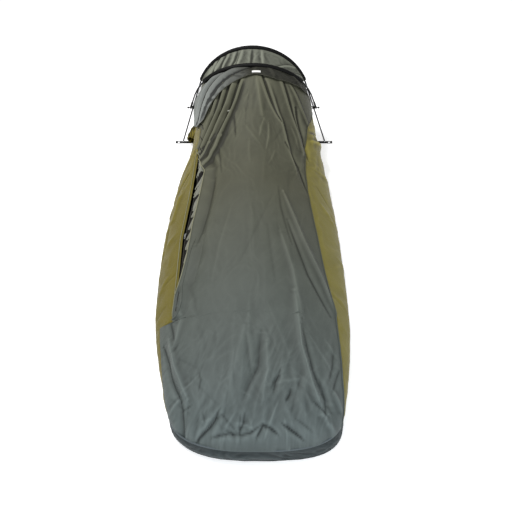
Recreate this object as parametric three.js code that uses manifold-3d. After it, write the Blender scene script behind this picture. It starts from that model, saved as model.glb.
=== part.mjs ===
// Hooped bivy sack: a one-person shelter bag held off the sleeper's head by two hoops.
// Millimetres, +Z up. The bag stands on z = 0 with its foot end towards -Y and its head end towards +Y.
// The origin is the middle of the bag's footprint.
import * as THREE from "three";
import { mergeVertices } from "three/addons/utils/BufferGeometryUtils.js";
import Module from "manifold-3d";

const wasm = await Module();
wasm.setup();

// ---- driving dimensions ----
const BAG_LENGTH = 2250; // groundsheet, foot to head
const FABRIC = 2; // thickness of a coated fabric panel, with its seams
const SEAM_GAP = 1.5; // clearance left between neighbouring panels
const FLOOR_RISE = 3; // groundsheet thickness

// Each hoop is a round arc with straight legs, drawn in its own plane.
const MAIN_HOOP = { radius: 320, centre: 276, legAngle: 20 };
const BROW_HOOP = { radius: 350, centre: -5, legAngle: 18.5 };
const MAIN_Y = 850; // the upright main hoop's plane
const HUB_Z = 240; // height of the hubs that carry the brow hoop
const BROW_LEAN = 22; // forward lean of the brow hoop at rest, in degrees
const POLE_RADIUS = 4.25;
const FERRULE_RADIUS = 5.2;
const FERRULE_LENGTH = 30;
const SLEEVE_RADIUS = 11;
const SLEEVE_BORE = 7.6;
const JOINT_GAP = 0.4; // end to end along a pole
const SWAY = 9; // sideways lean of the pitched hood at a height of 600

const radians = THREE.MathUtils.degToRad;
const lerp = THREE.MathUtils.lerp;
const FOOT_Y = -BAG_LENGTH / 2;
const HEAD_Y = BAG_LENGTH / 2;

// ---- materials ----
const finish = (color, roughness, metalness = 0) =>
  new THREE.MeshStandardMaterial({ color, roughness, metalness });
const greyFabric = finish(0x5f6153, 0.6);
const oliveFabric = finish(0x7d7542, 0.65);
const tubFabric = finish(0x4b5350, 0.55);
const blackFabric = finish(0x23241f, 0.8);
const netting = finish(0x15160f, 0.9);
const webbing = finish(0x1c1c1a, 0.85);
const alloy = finish(0x6c6e70, 0.35, 0.9);
const blackPlastic = finish(0x141414, 0.5);
const paleLabel = finish(0xd9d8d2, 0.7);
const steel = finish(0xb4b6b8, 0.3, 1);

const bivy = new THREE.Group();

// As pitched, everything above the floor stands a little to the bag's left.
const sway = new THREE.Matrix4().makeShear(0, 0, 0, 0, -SWAY / 600, 0);

function add(name, geometry, material) {
  const mesh = new THREE.Mesh(geometry.applyMatrix4(sway), material);
  mesh.name = name;
  bivy.add(mesh);
  return mesh;
}

// ---- solids and booleans ----
function solidOf(geometry) {
  const bare = geometry.clone();
  bare.deleteAttribute("normal");
  bare.deleteAttribute("uv");
  const merged = mergeVertices(bare, 1e-4);
  return new wasm.Manifold(
    new wasm.Mesh({
      numProp: 3,
      vertProperties: merged.attributes.position.array,
      triVerts: new Uint32Array(merged.index.array),
    }),
  );
}

function geometryOf(solid) {
  const mesh = solid.getMesh();
  return new THREE.BufferGeometry()
    .setAttribute("position", new THREE.BufferAttribute(mesh.vertProperties, 3))
    .setIndex(new THREE.BufferAttribute(mesh.triVerts, 1));
}

function join(...geometries) {
  const solids = geometries.map(solidOf);
  return geometryOf(solids.reduce((sum, solid) => sum.add(solid)));
}

function cut(geometry, ...tools) {
  const solid = tools.map(solidOf).reduce((left, tool) => left.subtract(tool), solidOf(geometry));
  return geometryOf(solid);
}

// A cylinder between two points.
function rod(from, to, radius, sides = 12, topRadius = radius) {
  const length = from.distanceTo(to);
  const geometry = new THREE.CylinderGeometry(topRadius, radius, length, sides);
  const direction = to.clone().sub(from).normalize();
  geometry.applyQuaternion(
    new THREE.Quaternion().setFromUnitVectors(new THREE.Vector3(0, 1, 0), direction),
  );
  const middle = from.clone().add(to).multiplyScalar(0.5);
  return geometry.translate(middle.x, middle.y, middle.z);
}

function box(width, depth, height, centre) {
  return new THREE.BoxGeometry(width, depth, height).translate(...centre);
}

const at = (x, y, z) => new THREE.Vector3(x, y, z);

// ---- the bag's shape ----
// Stations from the main hoop to the foot: where the panel edge meets the floor, the half width there,
// the left side's share of that width, the crown's place and height, and how square the section is.
const STATIONS = [
  { floorY: 866, halfWidth: 386, left: 1, crownY: 850, crown: 582, power: 2 },
  { floorY: 800, halfWidth: 380, left: 0.96, crownY: 726, crown: 546, power: 2 },
  { floorY: 560, halfWidth: 392, left: 0.93, crownY: 545, crown: 458, power: 1.9 },
  { floorY: 250, halfWidth: 418, left: 1.02, crownY: 250, crown: 352, power: 1.6 },
  { floorY: -150, halfWidth: 424, left: 1.05, crownY: -150, crown: 268, power: 1.6 },
  { floorY: -550, halfWidth: 410, left: 1.03, crownY: -560, crown: 205, power: 1.7 },
  { floorY: -820, halfWidth: 368, left: 0.98, crownY: -920, crown: 160, power: 2.2 },
  { floorY: -900, halfWidth: 345, left: 0.965, crownY: -1068, crown: 114, power: 2.6 },
  { floorY: -930, halfWidth: 330, left: 0.95, crownY: -1114, crown: 62, power: 3 },
];
const BROW_STATION = 1;
const FOOT_STATION = STATIONS.length - 1;
const FLOOR_EDGE_Z = 6; // height at which the side panels start above the ground
const SLEEVE_CLEARANCE = 14; // the fabric under a hoop lies this far inside its centre line

// A smooth value through the stations; t counts stations.
function along(key, t) {
  const last = STATIONS.length - 1;
  const i = Math.min(Math.floor(t), last - 1);
  const value = (k) => STATIONS[THREE.MathUtils.clamp(k, 0, last)][key];
  const slope = (k) => (value(k + 1) - value(k - 1)) / 2;
  const f = t - i;
  const [a, b] = [value(i), value(i + 1)];
  const [ma, mb] = [slope(i), slope(i + 1)];
  return a + f * (ma + f * (3 * (b - a) - 2 * ma - mb + f * (2 * (a - b) + ma + mb)));
}

// Half of a hoop's section, from the floor edge (share 0) straight up to the arch and over to its crown.
function archHalf(radiusX, radiusZ, centreZ, half, share) {
  const squash = radiusX / radiusZ;
  const drop = (centreZ - FLOOR_EDGE_Z) * squash;
  const reach = Math.hypot(half, drop);
  const touch = Math.acos(radiusX / reach) - Math.atan2(drop, half);
  const straight = Math.sqrt(reach ** 2 - radiusX ** 2);
  const arc = radiusX * (Math.PI / 2 - touch);
  const distance = share * (straight + arc);
  const angle = touch + Math.max(distance - straight, 0) / radiusX;
  const onArch = [radiusX * Math.cos(angle), centreZ + (radiusX * Math.sin(angle)) / squash];
  const f = Math.min(distance / straight, 1);
  return [lerp(half, onArch[0], f), lerp(FLOOR_EDGE_Z, onArch[1], f)];
}

// Half of a superellipse section over the sleeper.
function domeHalf(half, crown, power, share) {
  const angle = (share * Math.PI) / 2;
  const c = Math.max(Math.cos(angle), 0) ** (2 / power);
  const s = Math.sin(angle) ** (2 / power);
  return [half * c, FLOOR_EDGE_Z + (crown - FLOOR_EDGE_Z) * s];
}

// The section at t: share 0 is the right floor edge, 1 the left one.
function sectionPoint(t, share) {
  const side = share < 0.5 ? 1 : -1;
  const rise = 1 - Math.abs(2 * share - 1);
  const [half, crown] = [along("halfWidth", t), along("crown", t)];
  const hood = Math.min(t, 1);
  const radiusX = lerp(MAIN_HOOP.radius, BROW_HOOP.radius, hood) - SLEEVE_CLEARANCE;
  const browTilt = Math.cos(radians(BROW_LEAN));
  const radiusZ = lerp(MAIN_HOOP.radius, BROW_HOOP.radius * browTilt, hood) - SLEEVE_CLEARANCE;
  const centreZ = lerp(MAIN_HOOP.centre, HUB_Z + BROW_HOOP.centre * browTilt, hood);
  const arch = archHalf(radiusX, radiusZ, centreZ, half, rise);
  const dome = domeHalf(half, crown, along("power", t), rise);
  const share2 = THREE.MathUtils.smoothstep(t, 1, 2.2);
  const x = lerp(arch[0], dome[0], share2);
  const z = lerp(arch[1], dome[1], share2);
  const floorY = along("floorY", t);
  const sweep = along("crownY", t) - floorY;
  // Towards the head the section leans with the brow hoop, by height; towards the foot it wraps the toe box.
  const byHeight = (z / crown) ** 3;
  const roundness = lerp(0.8, 0.4, THREE.MathUtils.smoothstep(t, 5, FOOT_STATION));
  const byWidth = Math.max(1 - Math.abs(x / half) ** (side > 0 ? 3 : 2.5), 0) ** roundness;
  const footShare = THREE.MathUtils.smoothstep(t, 4, 5);
  const sideX = side > 0 ? x : -x * along("left", t);
  return at(sideX, floorY + sweep * lerp(byHeight, byWidth, footShare), z);
}

// The same section by share of its length, so that panels keep an even weave.
const SECTION_STEPS = 160;
const sectionCache = new Map();
function section(t) {
  const key = t.toFixed(6);
  if (!sectionCache.has(key)) {
    const points = [];
    const lengths = [0];
    for (let i = 0; i <= SECTION_STEPS; i++) {
      points.push(sectionPoint(t, i / SECTION_STEPS));
      if (i) lengths.push(lengths[i - 1] + points[i].distanceTo(points[i - 1]));
    }
    sectionCache.set(key, { points, lengths });
  }
  return sectionCache.get(key);
}

function bagPoint(t, u) {
  const { points, lengths } = section(t);
  const target = THREE.MathUtils.clamp(u, 0, 1) * lengths[SECTION_STEPS];
  let i = 1;
  while (i < SECTION_STEPS && lengths[i] < target) i++;
  const f = (target - lengths[i - 1]) / (lengths[i] - lengths[i - 1]);
  return points[i - 1].clone().lerp(points[i], f);
}

// The share of the section's length at which a side reaches a height.
function shareAtHeight(t, height, side) {
  const { points, lengths } = section(t);
  let i = 0;
  while (i < SECTION_STEPS / 2 - 1 && points[i + 1].z < height) i++;
  const f = (height - points[i].z) / (points[i + 1].z - points[i].z);
  const share = lerp(lengths[i], lengths[i + 1], Math.min(f, 1)) / lengths[SECTION_STEPS];
  return side > 0 ? share : 1 - share;
}

// ---- fabric panels ----
// Stations for a panel's rows: its two ends and every quarter station between, so that neighbours match.
function rowsBetween(from, to) {
  const rows = [from];
  for (let t = Math.ceil((from + 0.05) * 4) / 4; t < to - 0.05; t += 0.25) rows.push(t);
  return [...rows, to];
}

const evenRows = (count) => Array.from({ length: count + 1 }, (_, j) => j / count);

// A closed panel from a grid of points: its outer face is the grid and its inner face lies behind it.
function panel(pointAt, across, rows, offset = 0, thickness = FABRIC) {
  const normalAt = (a, b) => {
    const e = 0.01;
    const da = pointAt(a + e, b).sub(pointAt(a - e, b));
    const db = pointAt(a, b + e).sub(pointAt(a, b - e));
    return da.cross(db).normalize();
  };
  const outer = [];
  const inner = [];
  const down = rows.length - 1;
  for (const b of rows) {
    for (let i = 0; i <= across; i++) {
      const a = i / across;
      const inside = THREE.MathUtils.clamp(b, rows[0] + 0.01, rows[down] - 0.01);
      const n = normalAt(THREE.MathUtils.clamp(a, 0.01, 0.99), inside);
      outer.push(pointAt(a, b).addScaledVector(n, offset));
      inner.push(pointAt(a, b).addScaledVector(n, offset - thickness));
    }
  }
  const row = across + 1;
  const count = outer.length;
  const faces = [];
  const quad = (a, b, c, d) => faces.push(a, b, c, a, c, d);
  for (let j = 0; j < down; j++) {
    for (let i = 0; i < across; i++) {
      const k = j * row + i;
      quad(k, k + 1, k + row + 1, k + row);
      quad(count + k, count + k + row, count + k + row + 1, count + k + 1);
    }
  }
  for (let i = 0; i < across; i++) {
    quad(count + i, count + i + 1, i + 1, i);
    const k = down * row + i;
    quad(k, k + 1, count + k + 1, count + k);
  }
  for (let j = 0; j < down; j++) {
    const k = j * row;
    quad(k, k + row, count + k + row, count + k);
    const m = k + across;
    quad(count + m, count + m + row, m + row, m);
  }
  const vertices = new Float32Array([...outer, ...inner].flatMap((p) => p.toArray()));
  return new THREE.BufferGeometry()
    .setAttribute("position", new THREE.BufferAttribute(vertices, 3))
    .setIndex(faces);
}

// Seam heights between the olive walls and the grey cover, by station.
const LEFT_SEAM = [118, 160, 290, 228, 158, 112, 76, 56, 34];
const RIGHT_SEAM = [230, 262, 305, 241, 168, 102, 82, 60, 36];
// How far above the left seam the cover's hem stands open over the door, by station.
const DOOR_OPENING = [26, 26, 28, 58, 36, 27, 0, 0, 0];

function atStation(values, t) {
  const i = Math.min(Math.floor(t), values.length - 2);
  return lerp(values[i], values[i + 1], t - i);
}

function seamShare(t, side) {
  return shareAtHeight(t, atStation(side > 0 ? RIGHT_SEAM : LEFT_SEAM, t), side);
}

// A share of the section's length that spans a distance in millimetres.
const shareOf = (t, distance) => distance / section(t).lengths[SECTION_STEPS];

const HEAD_T = 0;
const COVER_T = BROW_STATION + 0.24; // the cover starts below the door zip along the brow sleeve
const BROW_ZIP_T = BROW_STATION + 0.1;
const FOOT_T = FOOT_STATION;
const ZIP_END_T = 5; // the long zip stops short of the foot
const ZIP_WIDTH = 26;

function addSideWall(name, side) {
  const pointAt = (a, t) => {
    const seam = seamShare(t, side) - side * shareOf(t, SEAM_GAP);
    return bagPoint(t, side > 0 ? lerp(0, seam, a) : lerp(seam, 1, a));
  };
  add(name, panel(pointAt, 4, rowsBetween(HEAD_T + 0.03, FOOT_T)), oliveFabric);
}

function addTopCover() {
  const pointAt = (a, t) => {
    const right = seamShare(t, 1) + shareOf(t, SEAM_GAP);
    const left = seamShare(t, -1) - shareOf(t, SEAM_GAP + atStation(DOOR_OPENING, t));
    return bagPoint(t, lerp(right, left, a));
  };
  add("top_cover", panel(pointAt, 16, rowsBetween(COVER_T, FOOT_T)), greyFabric);
}

// ---- hoops ----
// A hoop's centre line by distance along it from the right foot, in its own plane.
class HoopCurve extends THREE.Curve {
  constructor(shape, low, place, from = 0, to = 1) {
    super();
    const lean = radians(shape.legAngle);
    this.shape = shape;
    this.lean = lean;
    this.low = low;
    this.place = place;
    this.tangentX = shape.radius * Math.cos(lean);
    this.tangentZ = shape.centre + shape.radius * Math.sin(lean);
    this.leg = (this.tangentZ - low) / Math.cos(lean);
    this.arc = shape.radius * (Math.PI - 2 * lean);
    this.total = 2 * this.leg + this.arc;
    this.from = from;
    this.to = to;
  }
  span(from, to) {
    return new HoopCurve(this.shape, this.low, this.place, from / this.total, to / this.total);
  }
  planePoint(distance) {
    const past = distance - this.leg;
    if (past < 0) {
      const back = -past;
      return [this.tangentX + back * Math.sin(this.lean), this.tangentZ - back * Math.cos(this.lean)];
    }
    if (past > this.arc) {
      const [x, z] = this.planePoint(this.total - distance);
      return [-x, z];
    }
    const angle = this.lean + past / this.shape.radius;
    return [
      this.shape.radius * Math.cos(angle),
      this.shape.centre + this.shape.radius * Math.sin(angle),
    ];
  }
  getPoint(share, target = new THREE.Vector3()) {
    const distance = lerp(this.from, this.to, share) * this.total;
    return target.copy(this.place(...this.planePoint(distance)));
  }
}

const browLean = radians(BROW_LEAN);
const onMainPlane = (x, z) => at(x, MAIN_Y, z);
const onBrowPlane = (x, s) =>
  at(x, MAIN_Y - s * Math.sin(browLean), HUB_Z + s * Math.cos(browLean));
const mainCurve = new HoopCurve(MAIN_HOOP, 14, onMainPlane);
const browCurve = new HoopCurve(BROW_HOOP, 24, onBrowPlane);

function circleShape(radius, sides, bore = 0) {
  const ring = (r) =>
    Array.from({ length: sides }, (_, i) => {
      const angle = (2 * Math.PI * (i + 0.5)) / sides;
      return new THREE.Vector2(r * Math.cos(angle), r * Math.sin(angle));
    });
  const shape = new THREE.Shape(ring(radius));
  if (bore) shape.holes.push(new THREE.Path(ring(bore).reverse()));
  return shape;
}

function alongPath(shape, path, steps) {
  return new THREE.ExtrudeGeometry(shape, { steps, extrudePath: path, bevelEnabled: false });
}

// Pole sections end to end along a hoop, with a ferrule between each two.
function addPole(prefix, curve, sections) {
  const pitch = curve.total / sections;
  const half = FERRULE_LENGTH / 2;
  for (let i = 0; i < sections; i++) {
    const from = i * pitch + (i ? half + JOINT_GAP : 0);
    const to = (i + 1) * pitch - (i < sections - 1 ? half + JOINT_GAP : 0);
    const tube = alongPath(circleShape(POLE_RADIUS, 8), curve.span(from, to), 7);
    add(`${prefix}_pole_section_${i + 1}`, tube, alloy);
    if (i) {
      const ferrule = curve.span(i * pitch - half, i * pitch + half);
      add(`${prefix}_ferrule_${i}`, alongPath(circleShape(FERRULE_RADIUS, 8), ferrule, 2), alloy);
    }
  }
}

// The stretch of each hoop that its fabric sleeve covers, from a height on one leg to the other.
function sleeveSpan(curve, height) {
  let distance = 0;
  while (curve.getPoint(distance / curve.total).z < height) distance += 1;
  return [distance, curve.total - distance];
}

const MAIN_SLEEVE_Z = 412;
const BROW_SLEEVE_Z = 446;

function addSleeve(name, curve, height) {
  const [from, to] = sleeveSpan(curve, height);
  const tube = alongPath(circleShape(SLEEVE_RADIUS, 8, SLEEVE_BORE), curve.span(from, to), 20);
  add(name, tube, blackFabric);
}

// The panel stretched between the two sleeves.
function addHoodCanopy() {
  const [mainFrom, mainTo] = sleeveSpan(mainCurve, MAIN_SLEEVE_Z);
  const [browFrom, browTo] = sleeveSpan(browCurve, BROW_SLEEVE_Z);
  const edge = (a) => SLEEVE_RADIUS + 2 + 6 * (2 * a - 1) ** 2;
  const sag = 7;
  const pointAt = (a, b) => {
    const back = mainCurve.getPoint(lerp(mainFrom, mainTo, a) / mainCurve.total);
    const front = browCurve.getPoint(lerp(browFrom, browTo, a) / browCurve.total);
    const inset = edge(a) / back.distanceTo(front);
    const p = back.clone().lerp(front, lerp(inset, 1 - inset, b));
    p.z -= sag * 4 * b * (1 - b);
    return p;
  };
  add("hood_canopy", panel(pointAt, 20, evenRows(3)), greyFabric);
}

// Grey side of the hood, below the sleeve ends and above the olive wall.
function addHoodSide(name, side, bottomGap) {
  const pointAt = (a, t) => {
    const low = seamShare(t, side) + side * shareOf(t, bottomGap);
    const high = shareAtHeight(t, lerp(392, 420, t), side);
    return bagPoint(t, side > 0 ? lerp(low, high, a) : lerp(high, low, a));
  };
  add(name, panel(pointAt, 4, rowsBetween(0.1, 1.06)), greyFabric);
}

// ---- ends ----
// Superellipse outline of the floor round an end of the bag; angle 0 is its right corner.
const HEAD_END = { centreY: 866, halfWidth: 386, left: 1, power: 2.4, leftPower: 2.4, reach: HEAD_Y - 866 };
const FOOT_END = { centreY: -930, halfWidth: 330, left: 0.95, power: 3.4, leftPower: 2.6, reach: -930 - FOOT_Y };

function endOutline(end, angle, direction) {
  const c = Math.cos(angle);
  const s = Math.max(Math.sin(angle), 0);
  const power = c < 0 ? end.leftPower : end.power;
  const half = end.halfWidth * (c < 0 ? end.left : 1);
  const x = half * Math.sign(c) * Math.abs(c) ** (2 / power);
  return at(x, end.centreY + direction * end.reach * s ** (2 / power), 0);
}

function addHeadWall() {
  const billow = 16;
  const pointAt = (a, b) => {
    const u = lerp(0.04, 0.96, a);
    const arch = bagPoint(0, u);
    const floor = endOutline(HEAD_END, Math.PI * u, 1).setZ(FLOOR_EDGE_Z);
    floor.y -= FABRIC + SEAM_GAP;
    const p = arch.clone().setY(arch.y + SLEEVE_RADIUS + 3).lerp(floor, 1 - b);
    return p.add(at(0, billow, billow * 0.6).multiplyScalar(Math.sin(Math.PI * b) * Math.sin(Math.PI * u)));
  };
  add("head_wall", panel(pointAt, 18, evenRows(6)), greyFabric);
}

function addFootPanel() {
  const pointAt = (a, b) => {
    const u = lerp(0.06, 0.94, a);
    const rim = bagPoint(FOOT_T, u);
    const floor = endOutline(FOOT_END, Math.PI * u, -1).setZ(FLOOR_EDGE_Z);
    floor.y += FABRIC + SEAM_GAP;
    const gap = (FABRIC + SEAM_GAP) / Math.max(rim.distanceTo(floor), 30);
    return rim.clone().lerp(floor, lerp(gap, 1, b));
  };
  add("foot_panel", panel(pointAt, 18, evenRows(3)), tubFabric);
}

// The groundsheet: both end outlines joined by the bag's sides.
function addFloor() {
  const outline = [];
  const turn = 14;
  const side = [];
  for (let i = 1; i < 12; i++) {
    const t = lerp(0, FOOT_T, i / 12);
    side.push([along("halfWidth", t), along("floorY", t), along("left", t)]);
  }
  for (let i = 0; i <= turn; i++) outline.push(endOutline(HEAD_END, (Math.PI * i) / turn, 1));
  side.forEach(([x, y, left]) => outline.push(at(-x * left, y, 0)));
  for (let i = turn; i >= 0; i--) outline.push(endOutline(FOOT_END, (Math.PI * i) / turn, -1));
  side.reverse().forEach(([x, y]) => outline.push(at(x, y, 0)));
  const shape = new THREE.Shape(outline.map((p) => new THREE.Vector2(p.x, p.y)));
  const sheet = new THREE.ExtrudeGeometry(shape, { depth: FLOOR_RISE, bevelEnabled: false });
  add("groundsheet", sheet, tubFabric);
}

// ---- awning, netting, zips ----
const AWNING_RISE = 9;
const AWNING_T = BROW_STATION + 0.12;

// The awning's free edge from right to left, as [share of the section, station].
const AWNING_EDGE = [
  [0.28, 1.3], [0.34, 1.36], [0.42, 1.47], [0.5, 1.4], [0.56, 1.55], [0.63, 1.72],
  [0.685, 1.9], [0.74, 2], [0.8, 1.75], [0.87, 1.25],
];

function awningEdge(u) {
  const i = Math.max(AWNING_EDGE.findIndex(([share]) => share >= u), 1);
  const [[u0, t0], [u1, t1]] = [AWNING_EDGE[i - 1], AWNING_EDGE[i]];
  return lerp(t0, t1, (u - u0) / (u1 - u0));
}

function addAwning() {
  const pointAt = (a, b) => {
    const u = lerp(0.285, 0.865, a);
    return bagPoint(lerp(AWNING_T, awningEdge(u), b), u);
  };
  add("awning", panel(pointAt, 20, evenRows(4), AWNING_RISE), greyFabric);
}

function addNetDoor() {
  const pointAt = (a, t) => {
    const right = seamShare(t, 1) + shareOf(t, 10);
    const left = seamShare(t, -1) - shareOf(t, 10);
    return bagPoint(t, lerp(right, left, a));
  };
  add("net_door", panel(pointAt, 12, rowsBetween(COVER_T + 0.1, ZIP_END_T), -12, 1.5), netting);
}

function addZip(name, side, fromT, toT) {
  const middle = (t) => seamShare(t, side) + side * shareOf(t, ZIP_WIDTH / 2);
  const half = ZIP_WIDTH / 2 - SEAM_GAP;
  const strip = (width) => (a, t) => bagPoint(t, middle(t) + shareOf(t, width) * (2 * a - 1));
  const rows = rowsBetween(fromT, toT);
  add(`${name}_tape`, panel(strip(half), 2, rows, 0, 1.5), blackFabric);
  add(`${name}_coil`, panel(strip(3), 1, rows, 2.6, 2), blackPlastic);
}

// ---- hoop hardware ----
const HUB = { collarRadius: 7.2, collarHalf: 7, eyeRadius: 7.5, eyeWidth: 7, pinRadius: 2.6, knobRadius: 6 };
const POLE_BORE = 4.7;
const TIP_HOLE = 5.6;
const WEBBING_WIDTH = 24;
const mainLegLean = radians(MAIN_HOOP.legAngle);
const hubX = mainCurve.tangentX + (mainCurve.tangentZ - HUB_Z) * Math.tan(mainLegLean);
const tipX = mainCurve.tangentX + mainCurve.tangentZ * Math.tan(mainLegLean);
const eyeX = browCurve.tangentX + browCurve.tangentZ * Math.tan(radians(BROW_HOOP.legAngle));
const sideName = (side) => (side > 0 ? "right" : "left");
const legUp = (side) => at(-side * Math.sin(mainLegLean), 0, Math.cos(mainLegLean));
const browAlong = (side, s) =>
  onBrowPlane(side * (eyeX - s * Math.tan(radians(BROW_HOOP.legAngle))), s);

// A moulded clip on the main leg: a collar, a pin with a knob for the brow hoop, and an open hook inside.
function addHub(side) {
  const centre = at(side * hubX, MAIN_Y, HUB_Z);
  const up = legUp(side);
  const end = (k) => centre.clone().addScaledVector(up, k);
  const pinAt = (dx) => at(side * (hubX + dx), MAIN_Y, HUB_Z);
  const hookX = side * (hubX - 13);
  const hook = cut(
    join(
      rod(at(hookX, MAIN_Y - 3, HUB_Z), at(hookX, MAIN_Y + 3, HUB_Z), 8, 20),
      rod(end(-HUB.collarHalf), end(HUB.collarHalf), HUB.collarRadius, 16),
    ),
    rod(at(hookX, MAIN_Y - 9, HUB_Z), at(hookX, MAIN_Y + 9, HUB_Z), 5, 20),
    box(10, 20, 6.4, [hookX - side * 6, MAIN_Y, HUB_Z]),
  );
  const bored = cut(hook, rod(end(-40), end(40), POLE_BORE, 16));
  const pin = rod(pinAt(6), pinAt(26), HUB.pinRadius, 12);
  const knob = new THREE.SphereGeometry(HUB.knobRadius, 12, 8);
  knob.translate(side * (hubX + 29), MAIN_Y, HUB_Z);
  add(`hub_clip_${sideName(side)}`, join(bored, pin, knob), blackPlastic);
}

// The fitting on each end of the brow pole: a socket for the tube over an eye that turns on the hub's pin.
function addBrowEye(side) {
  const eyeAt = (dx) => at(side * (eyeX + dx), MAIN_Y, HUB_Z);
  const half = HUB.eyeWidth / 2;
  const body = join(
    rod(eyeAt(-half), eyeAt(half), HUB.eyeRadius, 20),
    rod(browAlong(side, 5), browAlong(side, 46), 5.9, 16),
  );
  const eye = cut(
    body,
    rod(eyeAt(-12), eyeAt(12), HUB.pinRadius + 0.4, 12),
    rod(browAlong(side, 24), browAlong(side, 60), POLE_BORE, 16),
  );
  add(`brow_eye_${sideName(side)}`, eye, blackPlastic);
}

// Webbing from the bag's corner to the pole foot, with an eyelet plate for the tip and a peg loop beyond.
function addPoleFoot(side) {
  const name = sideName(side);
  const inner = 386 + SEAM_GAP + 1;
  const strap = box(62, WEBBING_WIDTH, 2.2, [side * (inner + 31), MAIN_Y, 1.4]);
  const hole = rod(at(side * tipX, MAIN_Y, -2), at(side * tipX, MAIN_Y, 12), TIP_HOLE, 20);
  add(`corner_strap_${name}`, cut(strap, hole), webbing);
  const plate = join(
    box(44, 16, 1.8, [side * (tipX - 16), MAIN_Y, 3.8]),
    rod(at(side * tipX, MAIN_Y, 2.9), at(side * tipX, MAIN_Y, 4.7), 10, 24),
    rod(at(side * tipX, MAIN_Y, 4), at(side * tipX, MAIN_Y, 6.2), 8, 24),
  );
  add(`eyelet_plate_${name}`, cut(plate, hole), steel);
  const tipTop = onMainPlane(...mainCurve.planePoint(0)).setX(side * mainCurve.planePoint(0)[0]);
  const down = (k) => tipTop.clone().addScaledVector(legUp(side), -k);
  const tip = join(rod(down(0.5), down(6), FERRULE_RADIUS, 12), rod(down(5), down(14), 3, 12));
  add(`pole_tip_${name}`, tip, steel);
  const hinge = inner + 62 + 0.8;
  const loop = join(
    box(34, WEBBING_WIDTH, 2.4, [side * (hinge + 17), MAIN_Y, 1.5]),
    box(8, WEBBING_WIDTH, 4, [side * (hinge + 29), MAIN_Y, 2.3]),
  );
  add(`peg_loop_${name}`, cut(loop, box(13, 13, 20, [side * (hinge + 15), MAIN_Y, 0])), webbing);
}

// Short webbing tab from the hood that the hub's hook holds.
function addHookTab(side) {
  const x = side * (hubX - 16);
  add(`hook_tab_${sideName(side)}`, box(11, 2, 5.4, [x, MAIN_Y, HUB_Z]), webbing);
}

// ---- small sewn and moulded pieces ----
const SLIDER_T = 4;

function zipFrame(t) {
  const share = (s) => seamShare(s, -1) - shareOf(s, ZIP_WIDTH / 2);
  const centre = bagPoint(t, share(t));
  const forward = bagPoint(t + 0.3, share(t + 0.3)).sub(bagPoint(t - 0.3, share(t - 0.3))).normalize();
  const across = bagPoint(t, share(t) + 0.01).sub(bagPoint(t, share(t) - 0.01)).normalize();
  const out = across.clone().cross(forward).normalize();
  return { centre, forward, out, across: forward.clone().cross(out) };
}

// Places a piece drawn flat, with x across the zip, y along it towards the foot and z out of the cloth.
function onZip(geometry, t, lift) {
  const { centre, forward, out, across } = zipFrame(t);
  const place = new THREE.Matrix4().makeBasis(across, forward, out);
  place.setPosition(centre.clone().addScaledVector(out, lift));
  return geometry.applyMatrix4(place);
}

function addZipSlider() {
  const slider = join(box(9, 12, 2, [0, 0, 1]), box(3, 9, 3.4, [0, 0, 3.4]));
  const bored = cut(slider, rod(at(-6, 0, 3.5), at(6, 0, 3.5), 0.9, 12));
  add("zip_slider", onZip(bored, SLIDER_T, 4), steel);
  const pull = cut(
    box(7, 26, 1.6, [0, 12, 0]),
    box(3.8, 8.4, 4, [0, 0.6, 0]),
    box(3.4, 9, 4, [0, 17, 0]),
  );
  const bar = rod(at(-2.6, 0, 0), at(2.6, 0, 0), 0.6, 10);
  add("zip_pull", onZip(join(pull, bar), SLIDER_T, 7.5), steel);
}

// The door zip's run across the top, below the brow sleeve and under the awning.
function addBrowZip() {
  const strip = (from, to) => (a, b) => bagPoint(lerp(from, to, b), lerp(0.2, 0.86, a));
  const middle = (BROW_ZIP_T + COVER_T) / 2;
  const tape = strip(BROW_ZIP_T, COVER_T - 0.012);
  add("brow_zip_tape", panel(tape, 20, evenRows(1), 0, 1.5), blackFabric);
  const coil = strip(middle - 0.015, middle + 0.015);
  add("brow_zip_coil", panel(coil, 20, evenRows(1), 2.6, 2), blackPlastic);
}

// Places a piece drawn flat, with y down the bag and z out of the cloth, on the bag's surface.
function onBag(geometry, t, u, lift) {
  const across = bagPoint(t, u + 0.01).sub(bagPoint(t, u - 0.01)).normalize();
  const down = bagPoint(t + 0.05, u).sub(bagPoint(t - 0.05, u)).normalize();
  const out = across.clone().cross(down).normalize();
  const place = new THREE.Matrix4().makeBasis(down.clone().cross(out), down, out);
  place.setPosition(bagPoint(t, u).addScaledVector(out, lift));
  return geometry.applyMatrix4(place);
}

// The parked slider at the right-hand end of the top zip, with its moulded puller hanging beside it.
function addBrowZipSlider() {
  const slider = join(
    box(12, 9, 2, [0, 0, 1]),
    box(9, 3, 3, [0, 0, 2.5]),
    box(16, 6, 1.6, [10, 3, 3.2]),
  );
  add("brow_zip_slider", onBag(slider, (BROW_ZIP_T + COVER_T) / 2, 0.262, 3.4), blackPlastic);
}

function addTies() {
  add("label_tab", onBag(box(44, 13, 1.2, [0, 0, 0]), 1.33, 0.492, AWNING_RISE + 3.2), paleLabel);
  add("tie_tape", onBag(box(7, 34, 1.2, [0, 0, 0]), 1.72, 0.568, 2.6), webbing);
  const toggle = rod(at(-14, 0, 0), at(14, 0, 0), 3.4, 12);
  add("tie_toggle", onBag(toggle, 2.15, 0.6, 5.4), paleLabel);
}

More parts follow.
